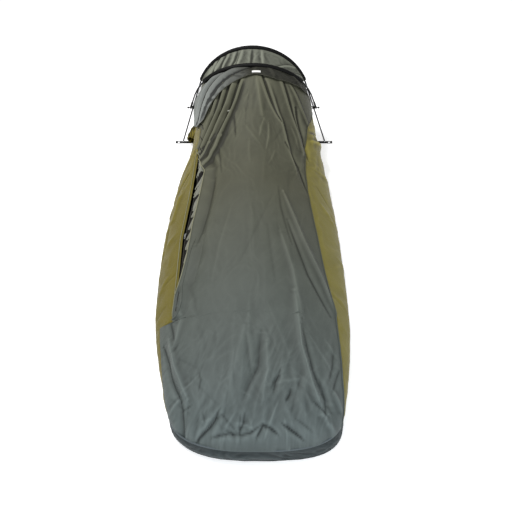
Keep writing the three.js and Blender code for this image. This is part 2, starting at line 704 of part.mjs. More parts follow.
addFloor();
addSideWall("side_wall_left", -1);
addSideWall("side_wall_right", 1);
addTopCover();
addFootPanel();
addHeadWall();
addHoodCanopy();
addHoodSide("hood_side_left", -1, SEAM_GAP);
addHoodSide("hood_side_right", 1, SEAM_GAP);
addAwning();
addNetDoor();
addZip("left_zip", -1, COVER_T + 0.02, ZIP_END_T);
addBrowZip();
addBrowZipSlider();
addTies();
addZipSlider();
addPole("main", mainCurve, 4);
addPole("brow", browCurve, 3);
addSleeve("main_sleeve", mainCurve, MAIN_SLEEVE_Z);
addSleeve("brow_sleeve", browCurve, BROW_SLEEVE_Z);
for (const side of [-1, 1]) {
  addHub(side);
  addBrowEye(side);
  addPoleFoot(side);
  addHookTab(side);
}

export default bivy;
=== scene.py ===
"""Hooped bivy sack: cloth, folds, materials and view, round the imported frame. Metres, +Z up."""

import math

import bpy
import numpy as np
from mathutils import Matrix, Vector


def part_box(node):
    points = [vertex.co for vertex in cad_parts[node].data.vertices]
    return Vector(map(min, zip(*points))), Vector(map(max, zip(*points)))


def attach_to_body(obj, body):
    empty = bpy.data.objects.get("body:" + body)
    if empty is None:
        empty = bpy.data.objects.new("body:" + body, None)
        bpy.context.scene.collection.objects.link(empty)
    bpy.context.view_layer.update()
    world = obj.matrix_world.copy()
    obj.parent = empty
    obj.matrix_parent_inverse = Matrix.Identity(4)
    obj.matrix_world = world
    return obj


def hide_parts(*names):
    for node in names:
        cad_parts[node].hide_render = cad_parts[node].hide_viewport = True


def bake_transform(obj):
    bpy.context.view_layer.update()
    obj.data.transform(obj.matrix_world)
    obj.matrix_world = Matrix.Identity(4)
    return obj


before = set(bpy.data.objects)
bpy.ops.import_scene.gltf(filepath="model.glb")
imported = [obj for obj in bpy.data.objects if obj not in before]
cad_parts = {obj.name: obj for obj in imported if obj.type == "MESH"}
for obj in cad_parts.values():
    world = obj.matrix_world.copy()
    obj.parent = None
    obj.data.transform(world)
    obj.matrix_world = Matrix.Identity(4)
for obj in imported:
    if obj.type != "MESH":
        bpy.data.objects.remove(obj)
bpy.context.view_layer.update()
rng = np.random.default_rng(7)

# ---- the bag's surface: stations from the main hoop to the toe ----
FLOOR_Y = np.array([866, 800, 560, 250, -150, -550, -820, -900, -930]) / 1000
HALF_WIDTH = np.array([386, 380, 392, 418, 424, 410, 368, 345, 330]) / 1000
LEFT_SHARE = np.array([1, 0.96, 0.93, 1.02, 1.05, 1.03, 0.98, 0.965, 0.95])
CROWN_Y = np.array([850, 726, 545, 250, -150, -560, -920, -1068, -1114]) / 1000
CROWN = np.array([582, 546, 458, 352, 268, 205, 160, 114, 62]) / 1000
POWER = np.array([2, 2, 1.9, 1.6, 1.6, 1.7, 2.2, 2.6, 3])
LEFT_SEAM = np.array([118, 160, 290, 228, 158, 112, 76, 56, 34]) / 1000
RIGHT_SEAM = np.array([230, 262, 305, 241, 168, 102, 82, 60, 36]) / 1000
FLOOR_EDGE = 0.006
MAIN_Y, HUB_Z = 0.85, 0.24
MAIN_RADIUS, MAIN_CENTRE, MAIN_LEG = 0.320, 0.276, math.radians(20)
BROW_RADIUS, BROW_CENTRE, BROW_LEG = 0.350, -0.005, math.radians(18.5)
BROW_LEAN = math.radians(22)
SLEEVE_CLEARANCE = 0.014
SLEEVE_RADIUS = 0.011
SWAY = 0.015  # sideways lean per metre of height
# Places along the bag are stations: 0 at the main hoop, 1 at the brow, 8 at the toe.
COVER_T, ZIP_END_T, TOE_T = 1.24, 5.0, 8.0
SECTION_POINTS = 161


def smooth(x, low, high):
    f = np.clip((np.asarray(x, float) - low) / (high - low), 0, 1)
    return f * f * (3 - 2 * f)


def mix(a, b, f):
    return a + (b - a) * f


def at_station(values, t):
    return np.interp(t, np.arange(len(values)), values)


def along(values, t):
    """A smooth curve through the stations' values."""
    t = np.asarray(t, float)
    last = len(values) - 1
    i = np.clip(np.floor(t).astype(int), 0, last - 1)
    pick = lambda k: values[np.clip(k, 0, last)]
    f = t - i
    a, b = pick(i), pick(i + 1)
    slope_a, slope_b = (b - pick(i - 1)) / 2, (pick(i + 2) - a) / 2
    bend = 3 * (b - a) - 2 * slope_a - slope_b
    return a + f * (slope_a + f * (bend + f * (2 * (a - b) + slope_a + slope_b)))


def arch_half(radius_x, radius_z, centre_z, half, share):
    squash = radius_x / radius_z
    drop = (centre_z - FLOOR_EDGE) * squash
    reach = np.hypot(half, drop)
    touch = np.arccos(radius_x / reach) - np.arctan2(drop, half)
    straight = np.sqrt(reach**2 - radius_x**2)
    distance = share * (straight + radius_x * (math.pi / 2 - touch))
    angle = touch + np.maximum(distance - straight, 0) / radius_x
    f = np.minimum(distance / straight, 1)
    x = mix(half, radius_x * np.cos(angle), f)
    return x, mix(FLOOR_EDGE, centre_z + radius_x * np.sin(angle) / squash, f)


def sections(t):
    """Fine cross-sections of the bag at stations t, from the right floor edge to the left one."""
    t = np.asarray(t, float)[:, None]
    share = np.linspace(0, 1, SECTION_POINTS)[None, :]
    side = np.where(share < 0.5, 1.0, -1.0)
    rise = 1 - np.abs(2 * share - 1)
    half, crown, power = along(HALF_WIDTH, t), along(CROWN, t), along(POWER, t)
    hood = np.clip(t, 0, 1)
    tilt = math.cos(BROW_LEAN)
    radius_x = mix(MAIN_RADIUS, BROW_RADIUS, hood) - SLEEVE_CLEARANCE
    radius_z = mix(MAIN_RADIUS, BROW_RADIUS * tilt, hood) - SLEEVE_CLEARANCE
    centre_z = mix(MAIN_CENTRE, HUB_Z + BROW_CENTRE * tilt, hood)
    arch_x, arch_z = arch_half(radius_x, radius_z, centre_z, half, rise)
    angle = rise * math.pi / 2
    dome_x = half * np.maximum(np.cos(angle), 0) ** (2 / power)
    dome_z = FLOOR_EDGE + (crown - FLOOR_EDGE) * np.sin(angle) ** (2 / power)
    domed = smooth(t, 1, 2.2)
    x, z = mix(arch_x, dome_x, domed), mix(arch_z, dome_z, domed)
    floor_y = along(FLOOR_Y, t)
    by_height = (z / crown) ** 3
    roundness = mix(0.8, 0.4, smooth(t, 5, TOE_T))
    by_width = np.maximum(1 - np.abs(x / half) ** np.where(side > 0, 3, 2.5), 0) ** roundness
    y = floor_y + (along(CROWN_Y, t) - floor_y) * mix(by_height, by_width, smooth(t, 4, 5))
    x = np.where(side > 0, x, -x * along(LEFT_SHARE, t))
    points = np.stack([x, y, z], -1)
    steps = np.linalg.norm(np.diff(points, axis=1), axis=2)
    lengths = np.concatenate([np.zeros((len(points), 1)), np.cumsum(steps, 1)], 1)
    return points, lengths


def bag_points(t, shares):
    """Points of the bag's surface: a row for each station in t, at that row's shares of the section."""
    points, lengths = sections(t)
    out = np.empty(shares.shape + (3,))
    for row in range(len(t)):
        wanted = np.clip(shares[row], 0, 1) * lengths[row, -1]
        for axis in range(3):
            out[row, :, axis] = np.interp(wanted, lengths[row], points[row, :, axis])
    return out


def girth(t):
    return sections(t)[1][:, -1]


def share_at_height(t, height, side):
    points, lengths = sections(t)
    height = np.broadcast_to(height, (len(t),))
    middle = SECTION_POINTS // 2
    out = np.empty(len(t))
    for row in range(len(t)):
        out[row] = np.interp(height[row], points[row, : middle + 1, 2], lengths[row, : middle + 1])
    out = out / lengths[:, -1]
    return out if side > 0 else 1 - out


def seam(t, side):
    return share_at_height(t, at_station(RIGHT_SEAM if side > 0 else LEFT_SEAM, t), side)


def spread(low, high, count):
    """Rows of shares running evenly from low to high."""
    return low[:, None] + (high - low)[:, None] * np.linspace(0, 1, count)[None, :]


# ---- hoops ----
class Hoop:
    def __init__(self, radius, centre, lean, low, place):
        self.radius, self.centre, self.lean, self.place = radius, centre, lean, place
        self.tangent_x, self.tangent_z = radius * math.cos(lean), centre + radius * math.sin(lean)
        self.leg = (self.tangent_z - low) / math.cos(lean)
        self.arc = radius * (math.pi - 2 * lean)
        self.total = 2 * self.leg + self.arc

    def at(self, distance):
        distance = np.asarray(distance, float)
        near = np.minimum(distance, self.total - distance)
        back = np.maximum(self.leg - near, 0)
        angle = self.lean + np.maximum(near - self.leg, 0) / self.radius
        x = np.where(back > 0, self.tangent_x + back * math.sin(self.lean), self.radius * np.cos(angle))
        z = self.tangent_z - back * math.cos(self.lean)
        z = np.where(back > 0, z, self.centre + self.radius * np.sin(angle))
        return self.place(np.where(distance < self.total / 2, x, -x), z)

    def span_above(self, height):
        distances = np.linspace(0, self.total / 2, 2000)
        start = distances[np.argmax(self.at(distances)[:, 2] >= height)]
        return start, self.total - start


def on_main_plane(x, z):
    return np.stack([x, np.full_like(x, MAIN_Y), z], -1)


def on_brow_plane(x, s):
    return np.stack([x, MAIN_Y - s * math.sin(BROW_LEAN), HUB_Z + s * math.cos(BROW_LEAN)], -1)


main_hoop = Hoop(MAIN_RADIUS, MAIN_CENTRE, MAIN_LEG, 0.014, on_main_plane)
brow_hoop = Hoop(BROW_RADIUS, BROW_CENTRE, BROW_LEG, 0.024, on_brow_plane)


# ---- folds ----
def lattice_noise(x, y, seed):
    """Smooth noise from -1 to 1 with a feature size of one unit."""
    xi, yi = np.floor(x).astype(int), np.floor(y).astype(int)
    xf, yf = x - xi, y - yi
    total = 0
    for dx in (0, 1):
        for dy in (0, 1):
            h = np.sin((xi + dx) * 127.1 + (yi + dy) * 311.7 + seed * 74.7) * 43758.5453
            angle = 2 * math.pi * (h - np.floor(h))
            along_grad = np.cos(angle) * (xf - dx) + np.sin(angle) * (yf - dy)
            wx = 1 - smooth(np.abs(xf - dx), 0, 1)
            wy = 1 - smooth(np.abs(yf - dy), 0, 1)
            total = total + along_grad * wx * wy
    return 1.5 * total


def crumple(x, y, size, seed):
    """Creased noise: flat facets that meet in ridges."""
    wx = x / size + 0.6 * lattice_noise(x / size * 0.7, y / size * 0.7, seed + 5)
    wy = y / size + 0.6 * lattice_noise(x / size * 0.7, y / size * 0.7, seed + 9)
    first = 1 - 2 * np.abs(lattice_noise(wx, wy, seed))
    second = 1 - 2 * np.abs(lattice_noise(2.1 * wx, 2.1 * wy, seed + 1))
    return 0.7 * first + 0.3 * second


def stroke(x, y, path, left, right):
    """How strongly points lie on a fold drawn along path: 1 on its line, falling off over left and right."""
    path = np.array(path, float)
    nearest = np.full(x.shape, 1e9)
    turned, share = np.zeros(x.shape), np.zeros(x.shape)
    lengths = np.linalg.norm(np.diff(path, axis=0), axis=1)
    total, before = lengths.sum(), 0.0
    for a, b, length in zip(path[:-1], path[1:], lengths):
        d = (b - a) / length
        along_it = np.clip((x - a[0]) * d[0] + (y - a[1]) * d[1], 0, length)
        px, py = x - a[0] - along_it * d[0], y - a[1] - along_it * d[1]
        distance = np.hypot(px, py)
        nearer = distance < nearest
        nearest = np.where(nearer, distance, nearest)
        turned = np.where(nearer, np.sign(d[0] * py - d[1] * px), turned)
        share = np.where(nearer, (before + along_it) / total, share)
        before += length
    taper = np.sin(math.pi * np.clip(share, 0.02, 0.98)) ** 0.5
    width = np.where(turned > 0, left, right) * (0.35 + 0.65 * taper)
    blunt = 0.0012
    return np.exp(-(((np.sqrt(nearest**2 + blunt**2) - blunt) / width) ** 1.25)) * taper


def laid(x, y, folds):
    """The height that a list of folds gives to points."""
    out = np.zeros(x.shape)
    for path, height, left, right in folds:
        out += height * stroke(x, y, path, left, right)
    return out


def in_metres(folds):
    """A table of folds in millimetres: each one's path, height, and width on the left and right."""
    return [(np.array(path) / 1000, *(size / 1000 for size in sizes)) for path, *sizes in folds]


def by_shares(folds, width, length):
    """The same for a panel: a path is shares across and places down it, the rest is millimetres."""
    return [
        ([((1 - across) * width, down * length) for across, down in path], *(size / 1000 for size in sizes))
        for path, *sizes in folds
    ]


# Folds listed from the brow to the toe, on the ground plan in millimetres.
BROW_FOLDS = [
    ([(-53, 635), (-80, 565), (-125, 460), (-180, 330), (-280, 190)], 26.3, 9, 26),
    ([(-60, 660), (-100, 565), (-140, 475), (-185, 390)], -25, 11, 9),
    ([(-85, 660), (-130, 560), (-195, 420), (-285, 270)], 20, 8, 11),
    ([(-115, 650), (-160, 555), (-215, 450), (-270, 360)], -22.5, 10, 8),
    ([(-135, 650), (-180, 550), (-235, 450), (-295, 350)], 17.5, 7, 8),
    ([(-165, 640), (-205, 555), (-250, 470), (-290, 400)], -18.7, 9, 8),
    ([(-180, 630), (-225, 550), (-265, 470), (-300, 400)], 16.3, 7, 7),
    ([(-205, 620), (-245, 550), (-275, 480)], -15, 8, 7),
    ([(50, 660), (78, 595), (108, 530), (142, 455)], -25, 14, 6),
    ([(75, 640), (110, 560), (145, 460), (165, 360), (215, 190)], 15, 7, 30),
    ([(140, 680), (185, 560), (225, 450), (255, 340)], 12.5, 12, 22),
    ([(165, 660), (215, 540), (250, 440)], -11.2, 10, 12),
    ([(200, 670), (250, 600), (300, 550)], 15, 10, 16),
    ([(225, 580), (262, 460), (283, 330)], -17.5, 14, 9),
    ([(160, 340), (225, 240), (268, 90)], -8.8, 12, 10),
    ([(20, 660), (35, 550), (50, 450)], 5, 20, 20),
]
BODY_FOLDS = [
    ([(-185, 140), (-215, -50), (-255, -240)], -12, 20, 30),
    ([(140, 40), (220, -220), (290, -400), (345, -570)], 14, 14, 9),
    ([(155, -120), (235, -400), (315, -580)], -9, 12, 12),
    ([(120, 60), (130, -60), (170, -260)], -5, 14, 10),
    ([(120, -200), (165, -400), (190, -620)], 11, 40, 14),
    ([(65, -180), (90, -460)], -3, 20, 20),
    ([(-300, -460), (-290, -600), (-310, -720)], 7, 12, 20),
]
FOOT_FOLDS = [
    ([(165, -500), (180, -750), (220, -940), (260, -1030)], 20, 26, 20),
    ([(185, -660), (215, -850), (275, -990)], -10, 12, 16),
    ([(30, -700), (20, -840), (-30, -950)], -12, 30, 26),
    ([(50, -740), (50, -860), (30, -980)], 7, 20, 16),
    ([(-30, -660), (-80, -900), (-120, -1020)], 9, 50, 40),
    ([(100, -850), (70, -940)], -6, 10, 8),
    ([(-360, -700), (-310, -860), (-265, -950)], -18, 14, 9),
    ([(-335, -680), (-295, -810), (-235, -950)], 13, 9, 20),
    ([(-270, -920), (-255, -1010), (-245, -1070)], -14, 12, 22),
    ([(-200, -1085), (-165, -1060), (-138, -1035), (-120, -1000)], -11, 6, 16),
    ([(-145, -1080), (-90, -1075), (-40, -1078), (0, -1070)], -8, 12, 6),
    ([(-50, -1070), (-35, -1045), (-30, -1010)], -5, 6, 12),
    ([(10, -1085), (33, -1050), (55, -1055), (85, -1075)], -8, 6, 12),
    ([(100, -1045), (135, -1065), (170, -1085)], -8, 12, 6),
    ([(65, -920), (80, -895), (100, -875)], -6, 8, 12),
    ([(135, -920), (130, -945), (113, -970)], -6, 12, 7),
    ([(215, -965), (240, -985), (260, -1005)], -7, 7, 10),
    ([(310, -750), (300, -810), (280, -870)], -7, 10, 12),
    ([(330, -810), (290, -910)], -6, 8, 10),
    ([(240, -880), (265, -950), (250, -1010)], -9, 10, 12),
    ([(290, -910), (315, -980)], 9, 10, 8),
    ([(-340, -600), (-310, -700)], -7, 10, 10),
]


def random_folds(count, low, high, heading, turn, length, height, width):
    """Small seeded folds over a patch of the plan, running roughly along heading."""
    folds = []
    for _ in range(count):
        x, y = rng.uniform(low[0], high[0]), rng.uniform(low[1], high[1])
        angle = heading + rng.normal(0, turn)
        reach = length * rng.uniform(0.6, 1.5)
        bend = rng.normal(0, 0.25)
        dx, dy = math.cos(angle), math.sin(angle)
        bow = 0.12 * reach * bend
        middle = (x + 0.5 * reach * dx - bow * dy, y + 0.5 * reach * dy + bow * dx)
        path = [(x, y), middle, (x + reach * dx, y + reach * dy)]
        left = width * rng.uniform(0.6, 1.6)
        tall = height * rng.uniform(0.4, 1.2) * rng.choice([-1, 1])
        folds.append((path, tall, left, left * rng.uniform(0.5, 1.5)))
    return folds


SMALL_FOLDS = (
    random_folds(18, (-0.28, 0.20), (0.28, 0.60), math.radians(-95), 0.3, 0.16, 0.0022, 0.010)
    + random_folds(16, (-0.30, -0.60), (0.32, 0.15), math.radians(-88), 0.25, 0.30, 0.0018, 0.020)
    + random_folds(34, (-0.34, -1.08), (0.33, -0.66), math.radians(-78), 0.55, 0.12, 0.0022, 0.008)
    + random_folds(30, (-0.28, -1.12), (0.30, -0.98), math.radians(-60), 1.2, 0.06, 0.0026, 0.005)
)


COVER_FOLDS = in_metres(BROW_FOLDS + BODY_FOLDS + FOOT_FOLDS) + SMALL_FOLDS


def lift(x, y, z):
    """How far the cloth stands off the smooth surface, from its place on the plan."""
    out = laid(x, y, COVER_FOLDS)
    crown = np.exp(-((np.abs(x) / 0.05) ** 1.6))
    out -= 0.004 * crown * smooth(-y, -0.5, -0.2) * (1 - smooth(-y, 0.7, 1.0))
    toe = smooth(-y, 0.45, 0.95)
    slant = 0.25
    down, across = y + slant * x, x - slant * y
    out += 0.0036 * toe * (crumple(across, down * 0.42, 0.11, 3) - 0.4)
    out += 0.0012 * toe * crumple(across * 1.2, down * 0.6, 0.055, 4)
    out += 0.0009 * crumple(x, y * 0.5, 0.07, 8)
    return out * smooth(z, 0.0, 0.05)


# ---- materials ----
def srgb(r, g, b):
    channel = lambda c: c / 255 / 12.92 if c <= 10 else ((c / 255 + 0.055) / 1.055) ** 2.4
    return (channel(r), channel(g), channel(b), 1.0)


def material(name, color, roughness, metallic=0.0):
    m = bpy.data.materials.new(name)
    m.use_nodes = True
    shader = m.node_tree.nodes["Principled BSDF"]
    shader.inputs["Base Color"].default_value = color
    shader.inputs["Roughness"].default_value = roughness
    shader.inputs["Metallic"].default_value = metallic
    shader.inputs["Specular IOR Level"].default_value = 0.5 if metallic else 0.16
    return m


def node(m, kind, sources=(), settings=(), **values):
    """A shader node of m: the sockets that feed it, its settings, and values for its other inputs."""
    made = m.node_tree.nodes.new("ShaderNode" + kind)
    for key, setting in dict(settings).items():
        setattr(made, key, setting)
    for key, value in values.items():
        made.inputs[key.replace("_", " ")].default_value = value
    for key, socket in dict(sources).items():
        m.node_tree.links.new(socket, made.inputs[key])
    return made


def into_shader(m, sockets):
    shader = m.node_tree.nodes["Principled BSDF"]
    for key, socket in sockets.items():
        m.node_tree.links.new(socket, shader.inputs[key])


def worn_material(name, color, roughness, metallic=0.0):
    """A hard finish handled enough to be unevenly dull and a little uneven in colour."""
    wear, wear_size = 0.25, 0.004
    m = material(name, srgb(*color), roughness, metallic)
    place = node(m, "TexCoord")
    rub = node(m, "TexNoise", {"Vector": place.outputs["Object"]}, Scale=1 / wear_size, Detail=5)
    rub = rub.outputs["Fac"]
    dullest = min(1.0, roughness * (1 + wear))
    dull = node(m, "MapRange", {"Value": rub}, To_Min=roughness * (1 - wear), To_Max=dullest)
    shade = node(m, "MapRange", {"Value": rub}, To_Min=1 - wear, To_Max=1 + wear)
    scale = {"Scale": shade.outputs["Result"]}
    tint = node(m, "VectorMath", scale, {"operation": "SCALE"}, Vector=srgb(*color)[:3])
    scratch = node(m, "Bump", {"Height": rub}, Strength=0.12, Distance=0.0002)
    into_shader(m, {
        "Roughness": dull.outputs["Result"],
        "Base Color": tint.outputs["Vector"],
        "Normal": scratch.outputs["Normal"],
    })
    return m


def cloth_material(name, color, roughness, far_color=None, ends=("Y", 0.6, -1.1), weave=0.25):
    """Coated plain-weave cloth, with painted shade in its hollows and painted highlight on its ridges; its
    colour drifts to far_color between two places.
    """
    m = material(name, srgb(*color), roughness)
    axis, start, end = ends
    place = node(m, "TexCoord").outputs["Object"]
    split = node(m, "SeparateXYZ", {0: place})
    span = node(m, "MapRange", {"Value": split.outputs[axis]}, From_Min=start, From_Max=end)
    drift = node(m, "Mix", {"Factor": span.outputs["Result"]}, {"data_type": "RGBA"},
                 A=srgb(*color), B=srgb(*(far_color or color)))
    blotch = node(m, "TexNoise", {"Vector": place}, Scale=9, Detail=4)
    crease = node(m, "Attribute", settings={"attribute_name": "crease"})
    # The first value varies the tone at random; the second paints shade into the hollows and highlight onto
    # the ridges.
    tone, painted_crease_shade = (
        node(m, "MapRange", {"Value": source.outputs["Fac"]},
             From_Min=low, From_Max=high, To_Min=at_low, To_Max=at_high).outputs["Result"]
        for source, low, high, at_low, at_high in (
            (blotch, 0.3, 0.7, 0.93, 1.07),
            (crease, -0.35, 0.35, 1.6, 0.35),
        )
    )
    both = node(m, "Math", {0: tone, 1: painted_crease_shade}, {"operation": "MULTIPLY"})
    scale = {0: drift.outputs["Result"], "Scale": both.outputs["Value"]}
    shade = node(m, "VectorMath", scale, {"operation": "SCALE"})
    warp, weft = (
        node(m, "TexWave", {"Vector": place}, {"bands_direction": direction}, Scale=420).outputs["Fac"]
        for direction in ("X", "Y")
    )
    cross = node(m, "Math", {0: warp, 1: weft}, {"operation": "ADD"})
    bump = node(m, "Bump", {"Height": cross.outputs[0]}, Strength=weave, Distance=0.0003)
    into_shader(m, {"Base Color": shade.outputs["Vector"], "Normal": bump.outputs["Normal"]})
    return m


# The grey is painted cooler and lighter towards the foot: painted cool light for the cool light and
# reflection there.
GREY = cloth_material("grey_cloth", (75, 75, 62), 0.55, (83, 91, 90), ("Y", 0.1, -1.05))
CANOPY = cloth_material("canopy_cloth", (96, 98, 88), 0.55)
# Pale and bluish at the awning's left end, deep grey from the middle rightwards: a painted reflection on the
# left and painted shade on the right.
AWNING_CLOTH = cloth_material("awning_cloth", (112, 115, 112), 0.55, (40, 40, 34), ("X", -0.36, -0.02))
# One olive fabric, painted darker on the left wall and lighter on the right: painted shade and light for how
# the light falls on the two walls.
OLIVE = cloth_material("olive_cloth", (101, 92, 38), 0.55, (116, 109, 56), ("X", -0.4, 0.4))
TUB = cloth_material("tub_cloth", (50, 56, 55), 0.5, (47, 54, 55))
BLACK = cloth_material("black_cloth", (13, 13, 12), 0.6)
# Black netting, made darker still as painted shade for the gaps under the flap: partly its real colour,
# partly painted shade.
NET = cloth_material("net_cloth", (26, 25, 22), 0.7)
TAPE = cloth_material("zip_tape", (34, 33, 29), 0.8, weave=0.6)
TEETH = worn_material("zip_teeth", (44, 43, 39), 0.45)
WEBBING = cloth_material("webbing", (30, 30, 28), 0.8, weave=0.8)
ALLOY = worn_material("pole_alloy", (24, 24, 26), 0.5, 0.25)
FERRULE = worn_material("ferrule_alloy", (150, 152, 155), 0.3, 1.0)
PLASTIC = worn_material("black_plastic", (24, 24, 24), 0.4)
STEEL = worn_material("plated_steel", (205, 207, 208), 0.25, 1.0)
GREYWEB = cloth_material("grey_webbing", (112, 113, 108), 0.8, weave=0.8)
RIM = cloth_material("toe_rim", (84, 92, 95), 0.5)
THREAD = cloth_material("thread", (70, 70, 60), 0.8, (70, 74, 72), weave=0.8)
TRIM = worn_material("grey_trim", (150, 150, 140), 0.6)
# A pale lining, partly its own colour and partly a painted highlight on the lit crests of the gathers in the
# door.
LINING = cloth_material("lining", (128, 128, 116), 0.6)
# Pale khaki for the left wall's piping and the flap's rolled hem; on the hem the pale colour is a painted
# highlight.
PIPING_AND_HEM_HIGHLIGHT = cloth_material("piping", (128, 126, 100), 0.6, (128, 128, 108))
PALE = worn_material("pale_woven", (236, 235, 230), 0.8)


# ---- making cloth ----
def new_object(name, vertices, faces, mat):
    mesh = bpy.data.meshes.new(name)
    mesh.from_pydata([tuple(v) for v in vertices], [], faces)
    mesh.update()
    obj = bpy.data.objects.new(name, mesh)
    bpy.context.scene.collection.objects.link(obj)
    mesh.materials.append(mat)
    mesh.polygons.foreach_set("use_smooth", [True] * len(mesh.polygons))
    return obj


def swayed(points):
    out = points.copy()
    out[..., 0] -= SWAY * out[..., 2]
    return out


def unit(directions):
    return directions / np.linalg.norm(directions, axis=-1, keepdims=True)


def grid_normals(points):
    across = np.gradient(points, axis=1)
    down = np.gradient(points, axis=0)
    n = np.cross(across, down)
    return n / np.maximum(np.linalg.norm(n, axis=-1, keepdims=True), 1e-12)


def grid_faces(rows, columns):
    k = np.arange(rows * columns).reshape(rows, columns)
    quads = np.stack([k[:-1, :-1], k[:-1, 1:], k[1:, 1:], k[1:, :-1]], -1)
    return quads.reshape(-1, 4).tolist()


def creases(points, shear=0.2):
    """How hollow (above zero) or ridged (below zero) the cloth is at each point of its grid, the measure
    behind the painted shade and highlight of its creases.
    """
    normals = grid_normals(points)
    out = np.zeros(points.shape[:2])
    toward_hood, toward_left = smooth(points[..., 1], 0.0, 0.4), smooth(-points[..., 0], 0.05, 0.2)
    shear = shear * (1 + 3 * toward_hood)
    for distance, weight in ((0.007, 0.6), (0.016, 0.7)):
        for axis in (0, 1):
            step = np.linalg.norm(np.diff(points, axis=axis), axis=2).mean()
            k = int(max(1, min(round(distance / step), points.shape[axis] // 3)))
            rolled = []
            for shift in (-k, k):
                index = np.clip(np.arange(points.shape[axis]) + shift, 0, points.shape[axis] - 1)
                rolled.append(np.take(points, index, axis=axis))
            bend = ((rolled[0] + rolled[1]) / 2 - points) * normals
            inner = np.arange(points.shape[axis])
            inner = np.minimum(inner, inner[::-1]) >= k
            inner = inner[:, None] if axis == 0 else inner[None, :]
            along_normal = bend.sum(2)
            sideways = (rolled[0] + rolled[1]) / 2 - points - along_normal[..., None] * normals
            even = np.clip(1.2 - np.linalg.norm(sideways, axis=2) / (shear * distance), 0, 1)
            out += weight * along_normal / distance * inner * even
    # The painted shade and highlight are made stronger towards the hood, most of all on its left side.
    return out * (0.75 + 1.05 * toward_hood + 0.6 * toward_hood * toward_left)


def cloth(name, points, mat, crease_shade_gain=1.0, shear=0.2):
    """A sheet of cloth from a grid of points in the unswayed shape."""
    obj = new_object(name, swayed(points).reshape(-1, 3), grid_faces(*points.shape[:2]), mat)
    crease = obj.data.attributes.new("crease", "FLOAT", "POINT")
    crease.data.foreach_set("value", (crease_shade_gain * creases(points, shear)).reshape(-1).astype(np.float32))
    return obj


def declare(node):
    """Hides the frame's node that the panel's cloth replaces."""
    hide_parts(node)


# Cloth that crosses the brow pivot, with a place on the bag first and one on the brow hoop second; such cloth
# is baked in place, not carried by a body.
CROSSING = {
    "hood": ((0, 0.45, 0.28), (0, 0.62, 0.5775)),
    "canopy": ((0, 0.85, 0.446), (0, 0.7787, 0.4171)),
}


def attach(obj, body):
    """Bakes a piece that crosses the brow pivot in place, or gives it the body that carries it."""
    if body in CROSSING:
        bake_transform(obj)
    else:
        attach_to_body(obj, body)


def panel(name, points, mat, body, crease_shade_gain=1.0, shear=0.2):
    """Stretched cloth that replaces the frame's node of that name."""
    obj = cloth(name + "_cloth", points, mat, crease_shade_gain, shear)
    declare(name)
    attach(obj, body)


def tube(name, path, radius, mat, sides=8):
    """A round tube along path; radius is one number, or a column with one for each point."""
    path = np.asarray(path, float)
    tangent = np.gradient(path, axis=0)
    tangent = unit(tangent)
    reference = np.array([0, 0, 1.0]) if abs(tangent[:, 2]).max() < 0.95 else np.array([0, 1.0, 0])
    side = np.cross(tangent, reference)
    side = unit(side)
    up = np.cross(side, tangent)
    angle = np.linspace(0, 2 * math.pi, sides, endpoint=False)
    ring = np.cos(angle)[None, :, None] * side[:, None] + np.sin(angle)[None, :, None] * up[:, None]
    points = path[:, None] + ring * np.broadcast_to(radius, (len(path), sides))[..., None]
    k = np.arange(len(path) * sides).reshape(len(path), sides)
    turned = np.roll(k, -1, 1)
    quads = np.stack([k[:-1], turned[:-1], turned[1:], k[1:]], -1).reshape(-1, 4).tolist()
    ends = [k[0].tolist()[::-1], k[-1].tolist()]
    return new_object(name, points.reshape(-1, 3), quads + ends, mat)


def edging(name, path, radius, mat, body):
    """A hem, welt or piping along an edge of the unswayed shape."""
    attach(tube(name, swayed(path), radius, mat), body)


def run_along(path):
    """How far along its path each point lies."""
    return np.concatenate([[0], np.cumsum(np.linalg.norm(np.diff(path, axis=0), axis=1))])


def resample(values, run, wanted):
    """Points or directions given at the places in run, at the wanted places."""
    return np.stack([np.interp(wanted, run, values[:, k]) for k in range(3)], -1)


def rows_between(low, high, step):
    """Stations from low to high, evenly spaced along the bag's crown."""
    t = np.linspace(low, high, 2000)
    y, z = along(CROWN_Y, t), along(CROWN, t)
    run = np.concatenate([[0], np.cumsum(np.hypot(np.diff(y), np.diff(z)))])
    count = max(int(round(run[-1] / step)), 2) + 1
    return np.interp(np.linspace(0, run[-1], count), run, t)


def offset_by(points, distance):
    return points + grid_normals(points) * distance[..., None]


def panel_points(t, low, high, columns, raise_by=0.0, folds=lift):
    """A panel of the bag between two lines of shares, its folds laid on it, raised off the surface."""
    base = bag_points(t, spread(low, high, columns))
    height = folds(base[..., 0], base[..., 1], base[..., 2]) + raise_by
    return offset_by(base, np.broadcast_to(height, base.shape[:2]))


def stitches(name, path):
    """A row of separate stitches in the hood's cloth, lying along path, in one mesh."""
    spacing, length, radius = 0.006, 0.0038, 0.00045
    path = swayed(path)
    run = run_along(path)
    starts = np.arange(spacing / 2, run[-1] - length, spacing)
    a, b = resample(path, run, starts), resample(path, run, starts + length)
    forward = unit(b - a)
    side = np.cross(forward, [0, 0, 1.0])
    side /= np.maximum(np.linalg.norm(side, axis=1, keepdims=True), 1e-9)
    up = np.cross(side, forward)
    rings = [
        np.stack([centre + thickness * corner for corner in (side, up, -side, -up)], 1)
        for centre, thickness in ((a, radius * 0.5), ((a + b) / 2, radius), (b, radius * 0.5))
    ]
    faces = []
    for k in range(len(starts)):
        o = 12 * k
        for r in (0, 4):
            for c in range(4):
                d = (c + 1) % 4
                faces.append([o + r + c, o + r + d, o + r + 4 + d, o + r + 4 + c])
        faces += [[o + 3, o + 2, o + 1, o], [o + 8, o + 9, o + 10, o + 11]]
    attach(new_object(name, np.concatenate(rings, 1).reshape(-1, 3), faces, THREAD), "hood")


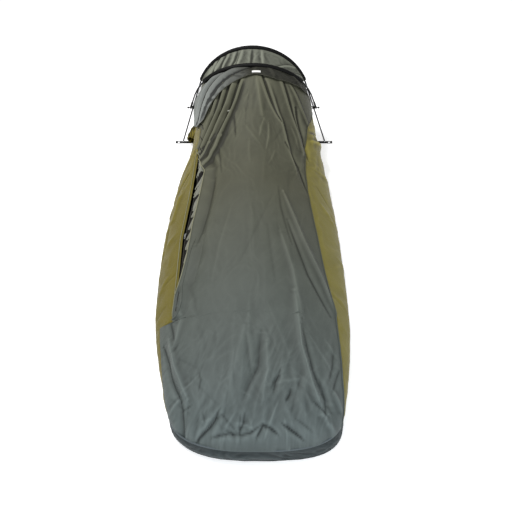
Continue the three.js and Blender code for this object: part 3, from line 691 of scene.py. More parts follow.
def zip_teeth(name, line, core, tooth, body):
    """The coil of a zip along line: its core's radius, and how much a tooth adds."""
    pitch, points_per_tooth, sides = 0.0042, 4, 6
    run = run_along(line)
    s = np.linspace(0, run[-1], int(run[-1] / pitch) * points_per_tooth)
    radius = core + tooth * (np.sin(2 * math.pi * s / pitch) > 0)
    coil = tube(name + "_teeth", swayed(resample(line, run, s)), radius[:, None], TEETH, sides)
    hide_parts(name + "_coil")
    attach(coil, body)


def reach(t, distance):
    """The share of each section that a distance on the cloth takes up."""
    return distance / girth(t)


# ---- side walls ----
CROSS_SEAM_T = 5.13  # below it the left wall is only a low strip
LEFT_WALL = np.array([118, 160, 285, 212, 150, 112]) / 1000
LEFT_STRIP = np.array([66, 58, 50, 34]) / 1000


def left_wall_top(t):
    upper = np.interp(t, [0, 1, 2, 3, 4, 5], LEFT_WALL)
    strip = np.interp(t, [5, 6, 7, 8], LEFT_STRIP)
    return mix(upper, strip, smooth(t, CROSS_SEAM_T - 0.004, CROSS_SEAM_T + 0.004))


# Folds of the walls in millimetres, drawn on their side view: path in (y, z), height, the two widths.
RIGHT_WALL_FOLDS = [
    ([(460, 270), (600, 140), (720, 30)], 16, 12, 22),
    ([(500, 300), (640, 190), (780, 50)], -12, 10, 12),
    ([(740, 0), (700, 100)], -16, 20, 20),
    ([(300, 200), (360, 60)], 6, 20, 14),
    ([(-300, 100), (-200, 20)], 5, 16, 16),
]
LEFT_WALL_FOLDS = [
    ([(790, 0), (800, 100), (760, 160)], -28, 22, 30),
    ([(460, 250), (380, 120), (300, 30)], 7, 12, 20),
    ([(300, 190), (240, 100), (200, 20)], -6, 10, 14),
    ([(200, 140), (20, 100), (-20, 30)], 8, 14, 10),
    ([(20, 70), (-140, 55), (-240, 20)], -10, 14, 10),
    ([(-100, 130), (-160, 60)], 5, 12, 12),
    ([(-340, 100), (-420, 50)], 6, 16, 12),
    ([(-500, 90), (-550, 30)], -5, 12, 12),
]


WALL_CREASES = random_folds(24, (-0.62, 0.02), (0.76, 0.24), math.radians(-125), 0.28, 0.16, 0.0044, 0.008)


def wall_folds(x, y, z, side, inset):
    """The shared folds, and the wall's own, which fade out towards its sewn edge."""
    own = laid(y, z, in_metres(RIGHT_WALL_FOLDS if side > 0 else LEFT_WALL_FOLDS))
    own += laid(y + 0.05 * side, z, WALL_CREASES)
    own += 0.0034 * crumple(0.55 * y + 0.3 * z, 0.8 * z - 0.3 * y + 3.0, 0.085, 31 + side)
    own += 0.0006 * crumple(y + 0.3 * z, z + 9.0, 0.05, 33 + side)
    gathered = smooth(y, 0.66, 0.78) * (1 - smooth(z, 0.10, 0.20)) * (1.0 if side < 0 else 0.5)
    own += 0.0075 * gathered * crumple(y * 1.2 - z * 0.4, z * 0.8 + y * 0.3, 0.032, 37 + side)
    return lift(x, y, z) + own * smooth(z, 0.0, 0.03) * inset


def side_wall(name, side):
    t = rows_between(0.0, TOE_T, 0.007)
    top = at_station(RIGHT_SEAM, t) if side > 0 else left_wall_top(t)
    seam_share = share_at_height(t, top, side)
    under = reach(t, 0.006)
    floor_edge = np.full(len(t), 0.0 if side > 0 else 1.0)
    low, high = (floor_edge, seam_share + under) if side > 0 else (seam_share - under, floor_edge)
    columns = 44
    from_seam = np.linspace(1, 0, columns) if side > 0 else np.linspace(0, 1, columns)
    inset = smooth(from_seam, 0.04, 0.22)[None, :]
    folds = lambda x, y, z: wall_folds(x, y, z, side, inset)
    points = panel_points(t, low, high, columns, -0.0012, folds)
    panel(name, points, OLIVE, "hood", crease_shade_gain=0.35)
    return points


left_wall_points = side_wall("side_wall_left", -1)
side_wall("side_wall_right", 1)
# Narrow piping sewn along the left wall's top edge, beside the zip.
piped = (left_wall_points[:, 0, 1] < 0.60) & (left_wall_points[:, 0, 1] > -0.58)
above_wall = offset_by(left_wall_points, np.full(left_wall_points.shape[:2], 0.0025))
edging("left_wall_piping", above_wall[piped, 3], 0.0017, PIPING_AND_HEM_HIGHLIGHT, "hood")


# ---- top cover with the door's storm flap down its left edge ----
# The flap's free edge on the plan, from where it leaves the zip to its rounded end.
FLAP_EDGE = [
    (-0.285, 0.38), (-0.264, 0.30), (-0.234, 0.209), (-0.248, 0.09), (-0.263, -0.02), (-0.275, -0.10),
    (-0.282, -0.19), (-0.289, -0.29), (-0.304, -0.386), (-0.314, -0.435), (-0.334, -0.467),
]


def share_at_x(t, x):
    """The share of each row's section at a place across the plan."""
    points, lengths = sections(t)
    out = np.empty(len(t))
    for row in range(len(t)):
        out[row] = np.interp(-x[row], -points[row, :, 0], lengths[row]) / lengths[row, -1]
    return out


def line_on_plan(t, line):
    """The share of each row's section where a line drawn on the plan crosses it."""
    line = np.array(line)
    y = along(CROWN_Y, t)
    return share_at_x(t, np.interp(-y, -line[:, 1], line[:, 0]))


def flap_share(t):
    sewn = share_at_height(t, left_wall_top(t), -1) + reach(t, 0.005)
    y = along(CROWN_Y, t)
    free = line_on_plan(t, FLAP_EDGE)
    inside = (y < FLAP_EDGE[0][1]) & (y > FLAP_EDGE[-1][1])
    return np.where(inside, np.minimum(free, sewn), sewn)


def top_cover():
    """The cover, the flap's rolled hem, the welt of the right seam, and the stitches beside both."""
    t = rows_between(COVER_T, TOE_T, 0.0065)
    y = along(CROWN_Y, t)
    right, left = seam(t, 1) - reach(t, 0.005), flap_share(t)
    columns = 236
    flap = smooth(-y, -0.38, -0.26) * (1 - smooth(-y, 0.43, 0.47))
    from_edge = (left - right)[:, None] * girth(t)[:, None] * np.linspace(1, 0, columns)[None, :]
    roll = np.exp(-((from_edge / 0.032) ** 1.6)) - 0.5 * np.exp(-(((from_edge - 0.055) / 0.022) ** 2))
    points = panel_points(t, right, left, columns, 0.0012 + 0.012 * flap[:, None] * roll)
    panel("top_cover", points, GREY, "hood")
    # The rolled hem takes the pale colour as a painted highlight along the flap's edge.
    edging("cover_hem", points[(y < 0.40) & (y > -0.47), -1], 0.0022, PIPING_AND_HEM_HIGHLIGHT, "hood")
    welt = points[:, 0] + np.array([0.0006, 0, 0.0010])
    edging("right_seam_welt", welt, 0.0017, GREY, "hood")
    above = points + grid_normals(points) * 0.0006
    stitches("right_seam_stitches", above[:, 2])
    stitches("cover_hem_stitches", above[(y < 0.40) & (y > -0.45), -3])


top_cover()


# ---- second layer of the storm flap, lying on the first ----
LAYER_EDGE = [
    (-0.258, -0.18), (-0.271, -0.27), (-0.284, -0.36), (-0.294, -0.441), (-0.288, -0.53), (-0.292, -0.575),
    (-0.306, -0.601), (-0.325, -0.611),
]
LAYER_WIDTH = 0.055


def flap_layer():
    columns, fine = 26, np.linspace(3, 6, 400)
    low_t, high_t = np.interp([0.18, 0.611], -along(CROWN_Y, fine), fine)
    t = rows_between(low_t, high_t, 0.0035)
    edge = line_on_plan(t, LAYER_EDGE)
    base = bag_points(t, spread(edge - reach(t, LAYER_WIDTH), edge, columns))
    from_edge = np.linspace(1, 0, columns)[None, :]
    start = smooth(np.arange(len(t)), 0, 26)[:, None]
    height = lift(*np.moveaxis(base, -1, 0))
    height = height + mix(-0.003, mix(0.004, 0.0145, start), (1 - from_edge) ** 2)
    points = offset_by(base, height)
    obj = cloth("flap_layer", points, GREY)
    attach(obj, "bag")
    edging("flap_layer_hem", points[:, -1], 0.0020, GREY, "bag")


flap_layer()


# ---- foot, head ----
# The floor's outline round each end: middle y, half width, the left side's share of it, powers, reach.
HEAD_END = (0.866, 0.386, 1.0, 2.4, 2.4, 0.259)
FOOT_END = (-0.930, 0.330, 0.95, 3.4, 2.6, -0.195)


def outline(end, angle):
    centre_y, half, left, right_power, left_power, reach_y = end
    c, s = np.cos(angle), np.maximum(np.sin(angle), 0)
    power = np.where(c < 0, left_power, right_power)
    x = half * np.where(c < 0, left, 1) * np.sign(c) * np.abs(c) ** (2 / power)
    return np.stack([x, centre_y + reach_y * s ** (2 / power), np.full_like(x, FLOOR_EDGE)], -1)


def foot_panel():
    u = np.linspace(0.0, 1.0, 240)
    rim_base = bag_points(np.array([TOE_T]), u[None, :])[0]
    floor = outline(FOOT_END, math.pi * u)
    floor[:, 1] += 0.001
    floor[:, 2] = 0.004
    down = np.linspace(0, 1, 16)[:, None, None]
    points = rim_base[None] * (1 - down) + floor[None] * down
    uneven = 0.6 + 0.8 * lattice_noise(u * 9, u * 0 + 2.5, 41)
    bulge = 0.006 * np.sin(math.pi * down[..., 0]) * uneven[None, :]
    wrinkle = 0.003 * crumple(u[None, :] * 1.1 + down[..., 0] * 0.05, down[..., 0] * 0.1, 0.05, 43)
    normal = np.stack([np.cos(math.pi * u), -np.sin(math.pi * u), 0 * u], -1)[None]
    points = points + normal * (bulge + wrinkle * np.sin(math.pi * down[..., 0]) ** 0.5)[..., None]
    points[0] = rim_base + np.array([0, 0, 0.0005])
    return points


foot_points = foot_panel()
panel("foot_panel", foot_points, TUB, "bag")
edging("toe_seam", foot_points[0], 0.0032, RIM, "bag")


def head_wall():
    u = np.linspace(0.0, 1.0, 200)
    arch = bag_points(np.array([0.0]), u[None, :])[0]
    arch[:, 1] += 0.012 * smooth(arch[:, 2], 0.36, 0.46)
    floor = outline(HEAD_END, math.pi * u)
    floor[:, 1] -= 0.001
    floor[:, 2] = 0.004
    down = np.linspace(0, 1, 60)[:, None]
    points = arch[None] * (1 - down[..., None]) + floor[None] * down[..., None]
    billow = np.sin(math.pi * down) * np.sin(math.pi * u)[None, :]
    points[..., 1] += 0.016 * billow
    points[..., 2] += 0.0096 * billow
    fan = 0.0032 * crumple(u[None, :] * 1.9 + 0 * down, down * 0.07, 0.085, 51)
    return offset_by(points, -fan * np.sin(math.pi * down) ** 0.6)


panel("head_wall", head_wall(), GREY, "bag")


# ---- hood ----
MAIN_SLEEVE_Z, BROW_SLEEVE_Z = 0.412, 0.446


def hoop_line(hoop, height, count):
    low, high = hoop.span_above(height)
    return hoop.at(np.linspace(low, high, count))


# Folds between the hoops: path as shares from the right end and from the main hoop, then millimetres.
CANOPY_FOLDS = [
    ([(0.8, 0), (0.86, 0.5), (0.93, 1)], 15, 9, 16),
    ([(0.83, 0), (0.895, 0.5), (0.96, 1)], -13.5, 10, 8),
    ([(0.74, 0), (0.8, 0.5), (0.865, 1)], 15, 8, 14),
    ([(0.765, 0), (0.83, 0.5), (0.895, 1)], -13.5, 9, 8),
    ([(0.68, 0), (0.73, 0.5), (0.78, 1)], 12, 9, 16),
    ([(0.705, 0), (0.76, 0.5), (0.81, 1)], -10.5, 10, 8),
    ([(0.61, 0), (0.645, 0.5), (0.69, 1)], -9, 10, 10),
    ([(0.575, 0), (0.6, 0.5), (0.635, 1)], 9, 9, 20),
    ([(0.5, 0), (0.505, 0.5), (0.515, 1)], -6, 10, 14),
    ([(0.43, 0), (0.42, 0.5), (0.41, 1)], 6, 14, 18),
    ([(0.12, 0), (0.22, 0.6), (0.28, 1)], 7.5, 14, 20),
    ([(0.03, 0.1), (0.09, 0.7), (0.14, 1)], 9, 10, 12),
]


def canopy():
    columns, rows = 260, 44
    width, length = 0.95, 0.12
    back = hoop_line(main_hoop, MAIN_SLEEVE_Z, columns)
    front = hoop_line(brow_hoop, BROW_SLEEVE_Z, columns)
    inset = (SLEEVE_RADIUS - 0.002) / np.linalg.norm(back - front, axis=1)
    across, down = np.meshgrid(np.linspace(0, 1, columns), np.linspace(0, 1, rows))
    f = (inset + (1 - 2 * inset) * down)[..., None]
    points = back * (1 - f) + front * f
    points[..., 2] -= 0.007 * 4 * down * (1 - down)
    fold = laid(width * (1 - across), length * down, by_shares(CANOPY_FOLDS, width, length))
    fold += 0.0006 * crumple(across * width, length * down, 0.05, 61)
    return offset_by(points, fold * np.sin(math.pi * down) ** 0.35)


panel("hood_canopy", canopy(), CANOPY, "canopy")


def hood_side(name, side):
    t = rows_between(0.0, COVER_T, 0.005)
    low = seam(t, side)
    high = share_at_height(t, mix(0.405, 0.455, np.clip(t, 0, 1)), side)
    near, far = (low - reach(t, 0.005), high) if side > 0 else (high, low + reach(t, 0.005))
    panel(name, panel_points(t, near, far, 40, 0.0012), GREY, "hood")


hood_side("hood_side_left", -1)
hood_side("hood_side_right", 1)


def sleeve(name, hoop, height, body, plane_normal):
    """Cloth wrapped round the pole, its two edges sewn in a flange on the inside of the hoop."""
    path = hoop_line(hoop, height, 260)
    tangent = np.gradient(path, axis=0)
    tangent = unit(tangent)
    normal = np.array(plane_normal) / np.linalg.norm(plane_normal)
    outward = np.cross(tangent, normal)
    outward *= np.sign(outward[len(path) // 2, 2])
    # The flange hangs deep so its black cloth also stands for the band of shade under the sleeve: partly a
    # real flange, partly painted shade.
    flange, seam_gap, around = 0.027, 0.0006, 22
    opening = math.asin(seam_gap / SLEEVE_RADIUS)
    angle = np.linspace(-math.pi / 2 + opening, 1.5 * math.pi - opening, around)
    across, up = SLEEVE_RADIUS * np.cos(angle), SLEEVE_RADIUS * np.sin(angle)
    down = np.linspace(flange, SLEEVE_RADIUS + 0.002, 4)
    across = np.concatenate([np.full(4, seam_gap), across, np.full(4, -seam_gap)])
    up = np.concatenate([-down, up, -down[::-1]])
    run = np.linspace(0, 0.9, len(path))[:, None]
    spot = np.linspace(0, 0.08, len(across))[None, :]
    ruck = 1 + 0.10 * crumple(run, spot * 3, 0.05, 71) * smooth(np.abs(across), 0.002, 0.008)[None, :]
    points = path[:, None] + normal[None, None] * (across[None] * ruck)[..., None]
    points = points + outward[:, None] * (up[None] * mix(1.0, ruck, 0.8))[..., None]
    panel(name, points, BLACK, body)


sleeve("main_sleeve", main_hoop, MAIN_SLEEVE_Z, "bag", (0, 1, 0))
sleeve("brow_sleeve", brow_hoop, BROW_SLEEVE_Z, "brow_hoop", (0, math.cos(BROW_LEAN), math.sin(BROW_LEAN)))


# ---- awning over the top zip ----
AWNING_SHARES = [0.270, 0.285, 0.34, 0.42, 0.50, 0.56, 0.63, 0.685, 0.74, 0.80, 0.865]
AWNING_STATIONS = [1.22, 1.30, 1.36, 1.47, 1.40, 1.55, 1.68, 1.80, 1.97, 1.88, 1.45]
# Folds of the awning: path as (share of the section, station), then millimetres.
AWNING_FOLDS = [
    ([(0.36, 1.05), (0.33, 1.22), (0.31, 1.34)], 7.8, 14, 14),
    ([(0.45, 1.05), (0.44, 1.22), (0.43, 1.42)], 5.9, 14, 18),
    ([(0.5, 1.05), (0.56, 1.25), (0.64, 1.5), (0.72, 1.76)], -13, 10, 16),
    ([(0.54, 1.05), (0.605, 1.25), (0.685, 1.5), (0.77, 1.82)], 15, 8, 20),
    ([(0.585, 1.03), (0.65, 1.25), (0.725, 1.5), (0.8, 1.78)], -22, 6, 12),
    ([(0.61, 1.03), (0.675, 1.25), (0.75, 1.5), (0.82, 1.72)], 20, 6, 8),
    ([(0.635, 1.03), (0.7, 1.25), (0.77, 1.48), (0.835, 1.66)], -18, 6, 6),
    ([(0.66, 1.03), (0.72, 1.23), (0.79, 1.46), (0.845, 1.6)], 16, 5, 6),
    ([(0.685, 1.03), (0.745, 1.23), (0.81, 1.42), (0.85, 1.52)], -16, 5, 5),
    ([(0.71, 1.03), (0.765, 1.2), (0.825, 1.38)], 15, 5, 5),
    ([(0.735, 1.03), (0.79, 1.2), (0.84, 1.34)], -14, 5, 5),
    ([(0.76, 1.03), (0.81, 1.18), (0.85, 1.28)], 12, 5, 5),
]


AWNING_RISE = 0.011


def awning():
    columns, rows, fine_rows, smoothing = 260, 60, 160, 19
    girth_scale, length_scale, top = 1.25, 0.2, 1.02
    u = np.linspace(AWNING_SHARES[0], AWNING_SHARES[-1], columns)
    kernel = np.hanning(smoothing)
    edge = np.pad(np.interp(u, AWNING_SHARES, AWNING_STATIONS), smoothing // 2, "edge")
    edge = np.convolve(edge, kernel / kernel.sum(), "valid")
    down = np.linspace(0, 1, rows)[:, None]
    t_grid = top + (edge - top)[None, :] * down
    fine_t = np.linspace(1.0, 2.05, fine_rows)
    surface = bag_points(fine_t, np.broadcast_to(u, (fine_rows, columns)))
    points = np.stack([resample(surface[:, c], fine_t, t_grid[:, c]) for c in range(columns)], 1)
    across = np.broadcast_to(u, t_grid.shape)
    folds = by_shares(AWNING_FOLDS, girth_scale, length_scale)
    fold = laid((1 - across) * girth_scale, t_grid * length_scale, folds)
    fold += 0.0015 * crumple(across * girth_scale, t_grid * length_scale, 0.05, 81)
    return offset_by(points, AWNING_RISE + fold * smooth(down, 0, 0.25))


awning_points = awning()
panel("awning", awning_points, AWNING_CLOTH, "brow_hoop", crease_shade_gain=1.3, shear=1.0)
edging("awning_hem", awning_points[-1], 0.0018, THREAD, "brow_hoop")


# ---- netting in the door, and the long zip beside it ----
ZIP_MIDDLE = 0.013
TAPE_HALF = 0.0088


def net_door():
    t = rows_between(COVER_T + 0.1, ZIP_END_T, 0.0065)
    low, high = seam(t, 1) + reach(t, 0.010), seam(t, -1) - reach(t, ZIP_MIDDLE + TAPE_HALF - 0.002)
    across = np.linspace(0, 1, 190) ** 0.8
    base = bag_points(t, low[:, None] + (high - low)[:, None] * across[None, :])
    x, y, z = base[..., 0], base[..., 1], base[..., 2]
    near_zip = smooth(across, 0.90, 1.0)[None, :]
    height = lift(x, y, z) - mix(0.013, 0.0025, near_zip)
    gathered = smooth(across, 0.80, 0.88)[None, :]
    height += 0.004 * crumple(x * 1.5 + y * 0.5, y - x * 0.6, 0.05, 91) * gathered
    panel("net_door", offset_by(base, height), NET, "hood")


net_door()


def on_bag(x, y):
    """Points of the smooth bag above places on the plan, where its sections stand across it."""
    fine = np.linspace(2.0, 5.5, 700)
    t = np.interp(-y, -along(CROWN_Y, fine), fine)
    return bag_points(t, share_at_x(t, x)[:, None])[:, 0]


def door_gathers():
    """Loose pleats of the cover's lining, slanting from under the flap to the zip, tapering to their ends."""
    hem_line, seam_t = np.array(FLAP_EDGE), np.linspace(2, 5.5, 300)
    seam_points = bag_points(seam_t, (seam(seam_t, -1) - reach(seam_t, 0.020))[:, None])[:, 0]
    vertices, faces = [], []
    count, around = 40, 9
    for k, high_y in enumerate(np.arange(0.345, -0.24, -0.040)):
        drop = 0.085 + 0.02 * math.sin(2.3 * k)
        s = np.linspace(0, 1, count)
        y = high_y - drop * s ** (0.85 + 0.2 * math.sin(k))
        hem_x = np.interp(-y, -hem_line[:, 1], hem_line[:, 0]) + 0.012
        edge_x = np.interp(-y, -seam_points[:, 1], seam_points[:, 0]) - 0.012 * smooth(y, 0.0, 0.04)
        x = mix(hem_x, edge_x, s)
        d = np.stack([np.gradient(x), np.gradient(y)], 1)
        d = unit(d)
        width = 0.0105 * (0.4 + 0.6 * np.sin(math.pi * np.clip(s, 0.03, 0.97)) ** 0.7)
        rows = []
        for j in range(around):
            f = j / (around - 1) * 2 - 1
            px, py = x - f * width * d[:, 1], y + f * width * d[:, 0]
            base = on_bag(px, py)
            arch = 0.0135 * (1 - abs(f) ** 1.3) * (0.7 + 0.3 * np.sin(math.pi * s))
            rise = lift(px, py, base[:, 2]) - 0.005 + arch
            rows.append(base + np.array([-0.55, 0.1, 0.83]) * rise[:, None])
        grid = np.stack(rows, 1)
        offset = len(vertices)
        vertices += list(swayed(grid).reshape(-1, 3))
        faces += [[offset + i for i in face] for face in grid_faces(count, around)]
    # The pale lining on the gathers is partly a painted highlight on their crests.
    obj = new_object("door_gathers", np.array(vertices), faces, LINING)
    attach(obj, "bag")


door_gathers()


def long_zip():
    """The zip up the left side: its tape, and the coil of teeth down the middle."""
    t = rows_between(COVER_T + 0.02, ZIP_END_T, 0.005)
    middle, half = seam(t, -1) - reach(t, ZIP_MIDDLE), reach(t, TAPE_HALF)
    base = bag_points(t, spread(middle - half, middle + half, 13))
    wave = 0.0012 * crumple(base[..., 1], base[..., 2] * 2, 0.03, 97)
    points = offset_by(base, lift(*np.moveaxis(base, -1, 0)) + wave - 0.002)
    panel("left_zip_tape", points, TAPE, "hood")
    zip_teeth("left_zip", points[:, 6] + grid_normals(points)[:, 6] * 0.0022, 0.0016, 0.0010, "hood")


long_zip()


# ---- the crumpled corner of the left wall, a cuff that opens round the pole's foot ----
def corner_cuff():
    """The cuff at the left corner round the pole: a crumpled sleeve, its mouth turned to the foot."""
    count, around = 34, 97
    mouth, elbow, root = np.array([[-0.377, 0.802, 0.048], [-0.364, 0.832, 0.060], [-0.322, 0.844, 0.092]])
    s = np.linspace(0, 1, count)[:, None]
    angle = np.linspace(0, 2 * math.pi, around)[None, :]
    centre = (1 - s) ** 2 * mouth + 2 * s * (1 - s) * elbow + s**2 * root
    axis = 2 * (1 - s) * (elbow - mouth) + 2 * s * (root - elbow)
    axis = unit(axis)
    side = np.cross(axis, [0, 0, 1.0])
    side = unit(side)
    up = np.cross(side, axis)
    flutes = 0.0048 * np.sin(7 * angle + 3.0 * s + 1.1 * np.sin(2 * angle)) * smooth(s, 0.0, 0.3)
    around_it, along_it = np.sin(angle) * 0.06 + 0 * s, np.cos(angle) * 0.06 + s * 0.07
    flutes = flutes + 0.005 * crumple(around_it, along_it, 0.026, 61)
    r = mix(0.024, 0.046, s**0.8) + flutes + 0.004 * np.exp(-s / 0.06)
    points = centre[:, None] + side[:, None] * (np.cos(angle) * r)[..., None]
    points = points + up[:, None] * (np.sin(angle) * r)[..., None]
    points[..., 2] = np.maximum(points[..., 2], 0.005 + 0.002 * np.cos(5 * angle))
    obj = cloth("corner_cuff_left", points, OLIVE)
    attach(obj, "bag")
    edging("corner_cuff_hem", points[0], 0.0016, OLIVE, "bag")


corner_cuff()


# ---- narrow woven pieces ----
def ribbon(node, path, across, width, thick, mat, body, hole=None):
    """A ribbed woven strap in place of a node; hole is its middle along, two half sizes, and if round."""
    path = np.asarray(path, float)
    run = run_along(path)
    s = np.linspace(0, run[-1], max(12, int(run[-1] / 0.001)))
    line = resample(path, run, s)
    turn = resample(np.broadcast_to(np.asarray(across, float), (len(path), 3)), run, s)
    turn = unit(turn)
    out = np.cross(turn, np.gradient(line, axis=0))
    out = unit(out)
    columns = max(7, int(width / 0.0012)) | 1
    f = np.linspace(-1, 1, columns)
    ribs = 0.00018 * np.sin(2 * math.pi * s / 0.0022)[:, None] * (np.abs(f) < 0.86)
    ribs = ribs + 0.0003 * (np.abs(f) > 0.9)
    points = line[:, None] + turn[:, None] * (f * width / 2)[None, :, None] + out[:, None] * ribs[..., None]
    faces = grid_faces(len(s), columns)
    if hole:
        middle, half_along, half_across, is_round = hole
        along_it = abs(s[:, None] - middle) / half_along
        across_it = abs(f * width / 2)[None, :] / half_across
        distance = np.hypot(along_it, across_it) if is_round else np.maximum(along_it, across_it)
        gone = (distance < 1).reshape(-1)
        faces = [face for face in faces if not any(gone[i] for i in face)]
    obj = new_object(node + "_woven", points.reshape(-1, 3), faces, mat)
    thicken = obj.modifiers.new("thickness", "SOLIDIFY")
    thicken.thickness, thicken.offset = thick, 0
    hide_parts(node)
    attach(obj, body)


def strap_x(node, side, steps):
    """Places from a strap's inner end to its outer one."""
    low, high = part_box(node)
    return np.linspace(low.x, high.x, steps) if side > 0 else np.linspace(high.x, low.x, steps)


def straps():
    steps = 30
    y, along_y = np.full(steps, MAIN_Y), (0, 1, 0)
    for side, end in ((1, "right"), (-1, "left")):
        x = strap_x("corner_strap_" + end, side, steps)
        low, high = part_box("pole_tip_" + end)
        hole = (abs((low.x + high.x) / 2 - x[0]), 0.008, 0.008, True)
        path = np.stack([x, y, 0.0013 + 0.0006 * np.sin(np.linspace(0, 9, steps)) ** 2], -1)
        ribbon("corner_strap_" + end, path, along_y, 0.022, 0.0014, WEBBING, "bag", hole)
        loop, hole = "peg_loop_" + end, (0.015, 0.0066, 0.0066, False)
        x = strap_x(loop, side, steps)
        path = np.stack([x, y, 0.0015 + 0.0010 * smooth(np.abs(x - x[0]), 0.022, 0.034)], -1)
        ribbon(loop, path, along_y, 0.023, 0.0018, WEBBING, loop, hole)
        low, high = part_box("hook_tab_" + end)
        foot = np.array([(low.x + high.x) / 2, MAIN_Y, (low.z + high.z) / 2 - 0.001])
        top_t = np.array([0.02])
        top = swayed(bag_points(top_t, share_at_height(top_t, np.array([0.405]), side)[:, None])[0, 0])
        drop = np.linspace(0, 1, 40)[:, None]
        path = mix(top + np.array([side * 0.004, 0, 0]), foot, drop)
        path[:, 0] += side * 0.006 * np.sin(math.pi * drop[:, 0])
        ribbon("hook_tab_" + end, path, (0, 1, 0.05), 0.011, 0.0014, GREYWEB, "bag")


straps()


def on_cover(line):
    """Points just above the cover along a line on the plan."""
    line = np.array(line)
    base = on_bag(line[:, 0], line[:, 1])
    height = lift(line[:, 0], line[:, 1], base[:, 2]) + 0.0045
    return swayed(base + np.array([0, -0.25, 0.97])[None] * height[:, None])


def small_pieces():
    low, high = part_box("tie_tape")
    middle = (low + high) / 2
    x, y = middle.x + SWAY * middle.z, middle.y
    s = np.linspace(0, 1, 20)
    line = np.stack([x + 0.004 - 0.010 * s, high.y + 0.002 - (high.y - low.y + 0.004) * s], -1)
    ribbon("tie_tape", on_cover(line), (1, 0.1, 0), 0.007, 0.0011, GREYWEB, "hood")
    low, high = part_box("label_tab")
    x = np.linspace(low.x, high.x, 24)
    front, back = low.y, high.y
    z = (low.z + high.z) / 2 + 0.0015 - 0.0012 * (2 * np.linspace(0, 1, 24) - 1) ** 2
    path = np.stack([x, np.full(24, (front + back) / 2), z], -1)
    lean = np.array([0, high.y - low.y, high.z - low.z - 0.002])
    ribbon("label_tab", path, lean, 0.0125, 0.0009, PALE, "brow_hoop")


small_pieces()


def brow_zip():
    """The door zip's run across the top: its tape on the hood's cloth and the coil down its middle."""
    u, t = np.linspace(0.2, 0.86, 360), np.linspace(1.10, 1.228, 11)
    points = np.swapaxes(bag_points(t, np.broadcast_to(u, (len(t), len(u)))), 0, 1)
    points = offset_by(points, -0.0008 * crumple(points[..., 0], points[..., 1] * 2, 0.03, 99))
    panel("brow_zip_tape", points, TAPE, "brow_hoop")
    zip_teeth("brow_zip", points[:, 6] + np.array([0, -0.3, 0.95]) * 0.0022, 0.0014, 0.0008, "brow_hoop")


brow_zip()


# ---- the floor of the bag ----
def end_row(end, k, across):
    """A row of the floor across a rounded end, k of the way out from its straight side."""
    centre_y, half, left, right_power, left_power, reach_y = end
    s = min(k, 0.9985)
    power = np.where(across < 0, left_power, right_power)
    width = half * np.where(across < 0, left, 1) * (1 - s**power) ** (1 / power)
    return np.stack([across * width, np.full(len(across), centre_y + reach_y * s), 0 * across], -1)


def groundsheet():
    end_rows = 30
    t = np.linspace(0, TOE_T, 260)
    across = np.linspace(1, -1, 61)
    rows = [end_row(HEAD_END, k / end_rows, across) for k in range(end_rows, 0, -1)]
    for half, y, share in zip(along(HALF_WIDTH, t), along(FLOOR_Y, t), along(LEFT_SHARE, t)):
        x = across * half * np.where(across > 0, 1, share)
        rows.append(np.stack([x, np.full(len(x), y), 0 * x], -1))
    rows += [end_row(FOOT_END, k / end_rows, across) for k in range(1, end_rows + 1)]
    points = np.array(rows)
    height = 0.0016 + 0.0012 * crumple(points[..., 0], points[..., 1], 0.12, 95)
    points[..., 2] = np.clip(height, 0.0004, 0.003) + 0.003 * smooth(np.abs(across), 0.96, 1.0)[None, :]
    return points


floor_points = groundsheet()
floor_cloth = cloth("groundsheet_cloth", floor_points, TUB)
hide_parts("groundsheet")
attach(floor_cloth, "bag")


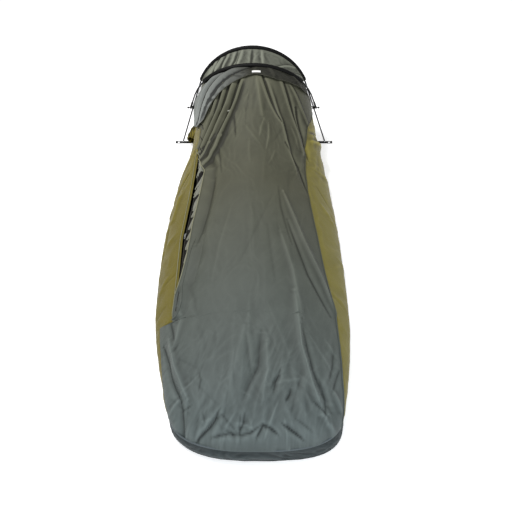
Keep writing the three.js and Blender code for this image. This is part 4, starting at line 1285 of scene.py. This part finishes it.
# ---- finishes of the hardware ----
for name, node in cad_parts.items():
    if node.hide_render:
        continue
    if "ferrule" in name:
        finish = FERRULE
    elif "pole_section" in name:
        finish = ALLOY
    elif name.startswith(("hub_", "brow_eye", "brow_zip_slider", "left_zip_coil", "brow_zip_coil")):
        finish = PLASTIC
    elif name.startswith(("zip_", "pole_tip")):
        finish = STEEL
    elif name.startswith("label"):
        finish = PALE
    elif name.startswith("tie_"):
        finish = TRIM
    elif name.startswith(("left_zip_tape", "brow_zip_tape")):
        finish = BLACK
    else:
        finish = WEBBING
    if not node.material_slots:
        node.data.materials.append(finish)
    for s in node.material_slots:
        s.material = finish

# ---- view ----
camera_data = bpy.data.cameras.new("camera")
camera_data.lens, camera_data.sensor_width = 35.57, 36
camera_data.shift_x = 0.0039
camera = bpy.data.objects.new("camera", camera_data)
camera.location = (0, -1.8305, 1.785)
camera.rotation_euler = (math.radians(43.685), 0, 0)
bpy.context.scene.collection.objects.link(camera)
bpy.context.scene.camera = camera


def area_light(name, place, aim, size, power, color=(1, 1, 1)):
    data = bpy.data.lights.new(name, "AREA")
    data.shape, data.size, data.energy, data.color = "DISK", size, power, color
    light = bpy.data.objects.new(name, data)
    light.location = place
    light.rotation_euler = (Vector(aim) - Vector(place)).to_track_quat("-Z", "Y").to_euler()
    bpy.context.scene.collection.objects.link(light)


area_light("key", (-1.1, 0.3, 3.2), (0, -0.1, 0.2), 0.8, 84)
area_light("foot_fill", (0.9, -3.4, 1.9), (0, -0.7, 0.1), 1.6, 45, (0.84, 0.92, 1.0))

world = bpy.data.worlds.new("studio")
bpy.context.scene.world = world
world.use_nodes = True
background = world.node_tree.nodes["Background"]
background.inputs["Color"].default_value = (1, 1, 1, 1)
background.inputs["Strength"].default_value = 0.5

floor_reach, floor_z = 40, -0.0006
corners = [(x * floor_reach, y * floor_reach, floor_z) for x, y in ((-1, -1), (1, -1), (1, 1), (-1, 1))]
floor_mesh = bpy.data.meshes.new("studio_floor")
floor_mesh.from_pydata(corners, [], [(0, 1, 2, 3)])
studio_floor = bpy.data.objects.new("studio_floor", floor_mesh)
bpy.context.scene.collection.objects.link(studio_floor)
studio_white = material("studio_white", (0.92, 0.92, 0.92, 1), 0.9)
white_shader = studio_white.node_tree.nodes["Principled BSDF"]
white_shader.inputs["Emission Color"].default_value = (1, 1, 1, 1)
white_shader.inputs["Emission Strength"].default_value = 0.45
floor_mesh.materials.append(studio_white)
bpy.context.scene.view_settings.view_transform = "Standard"
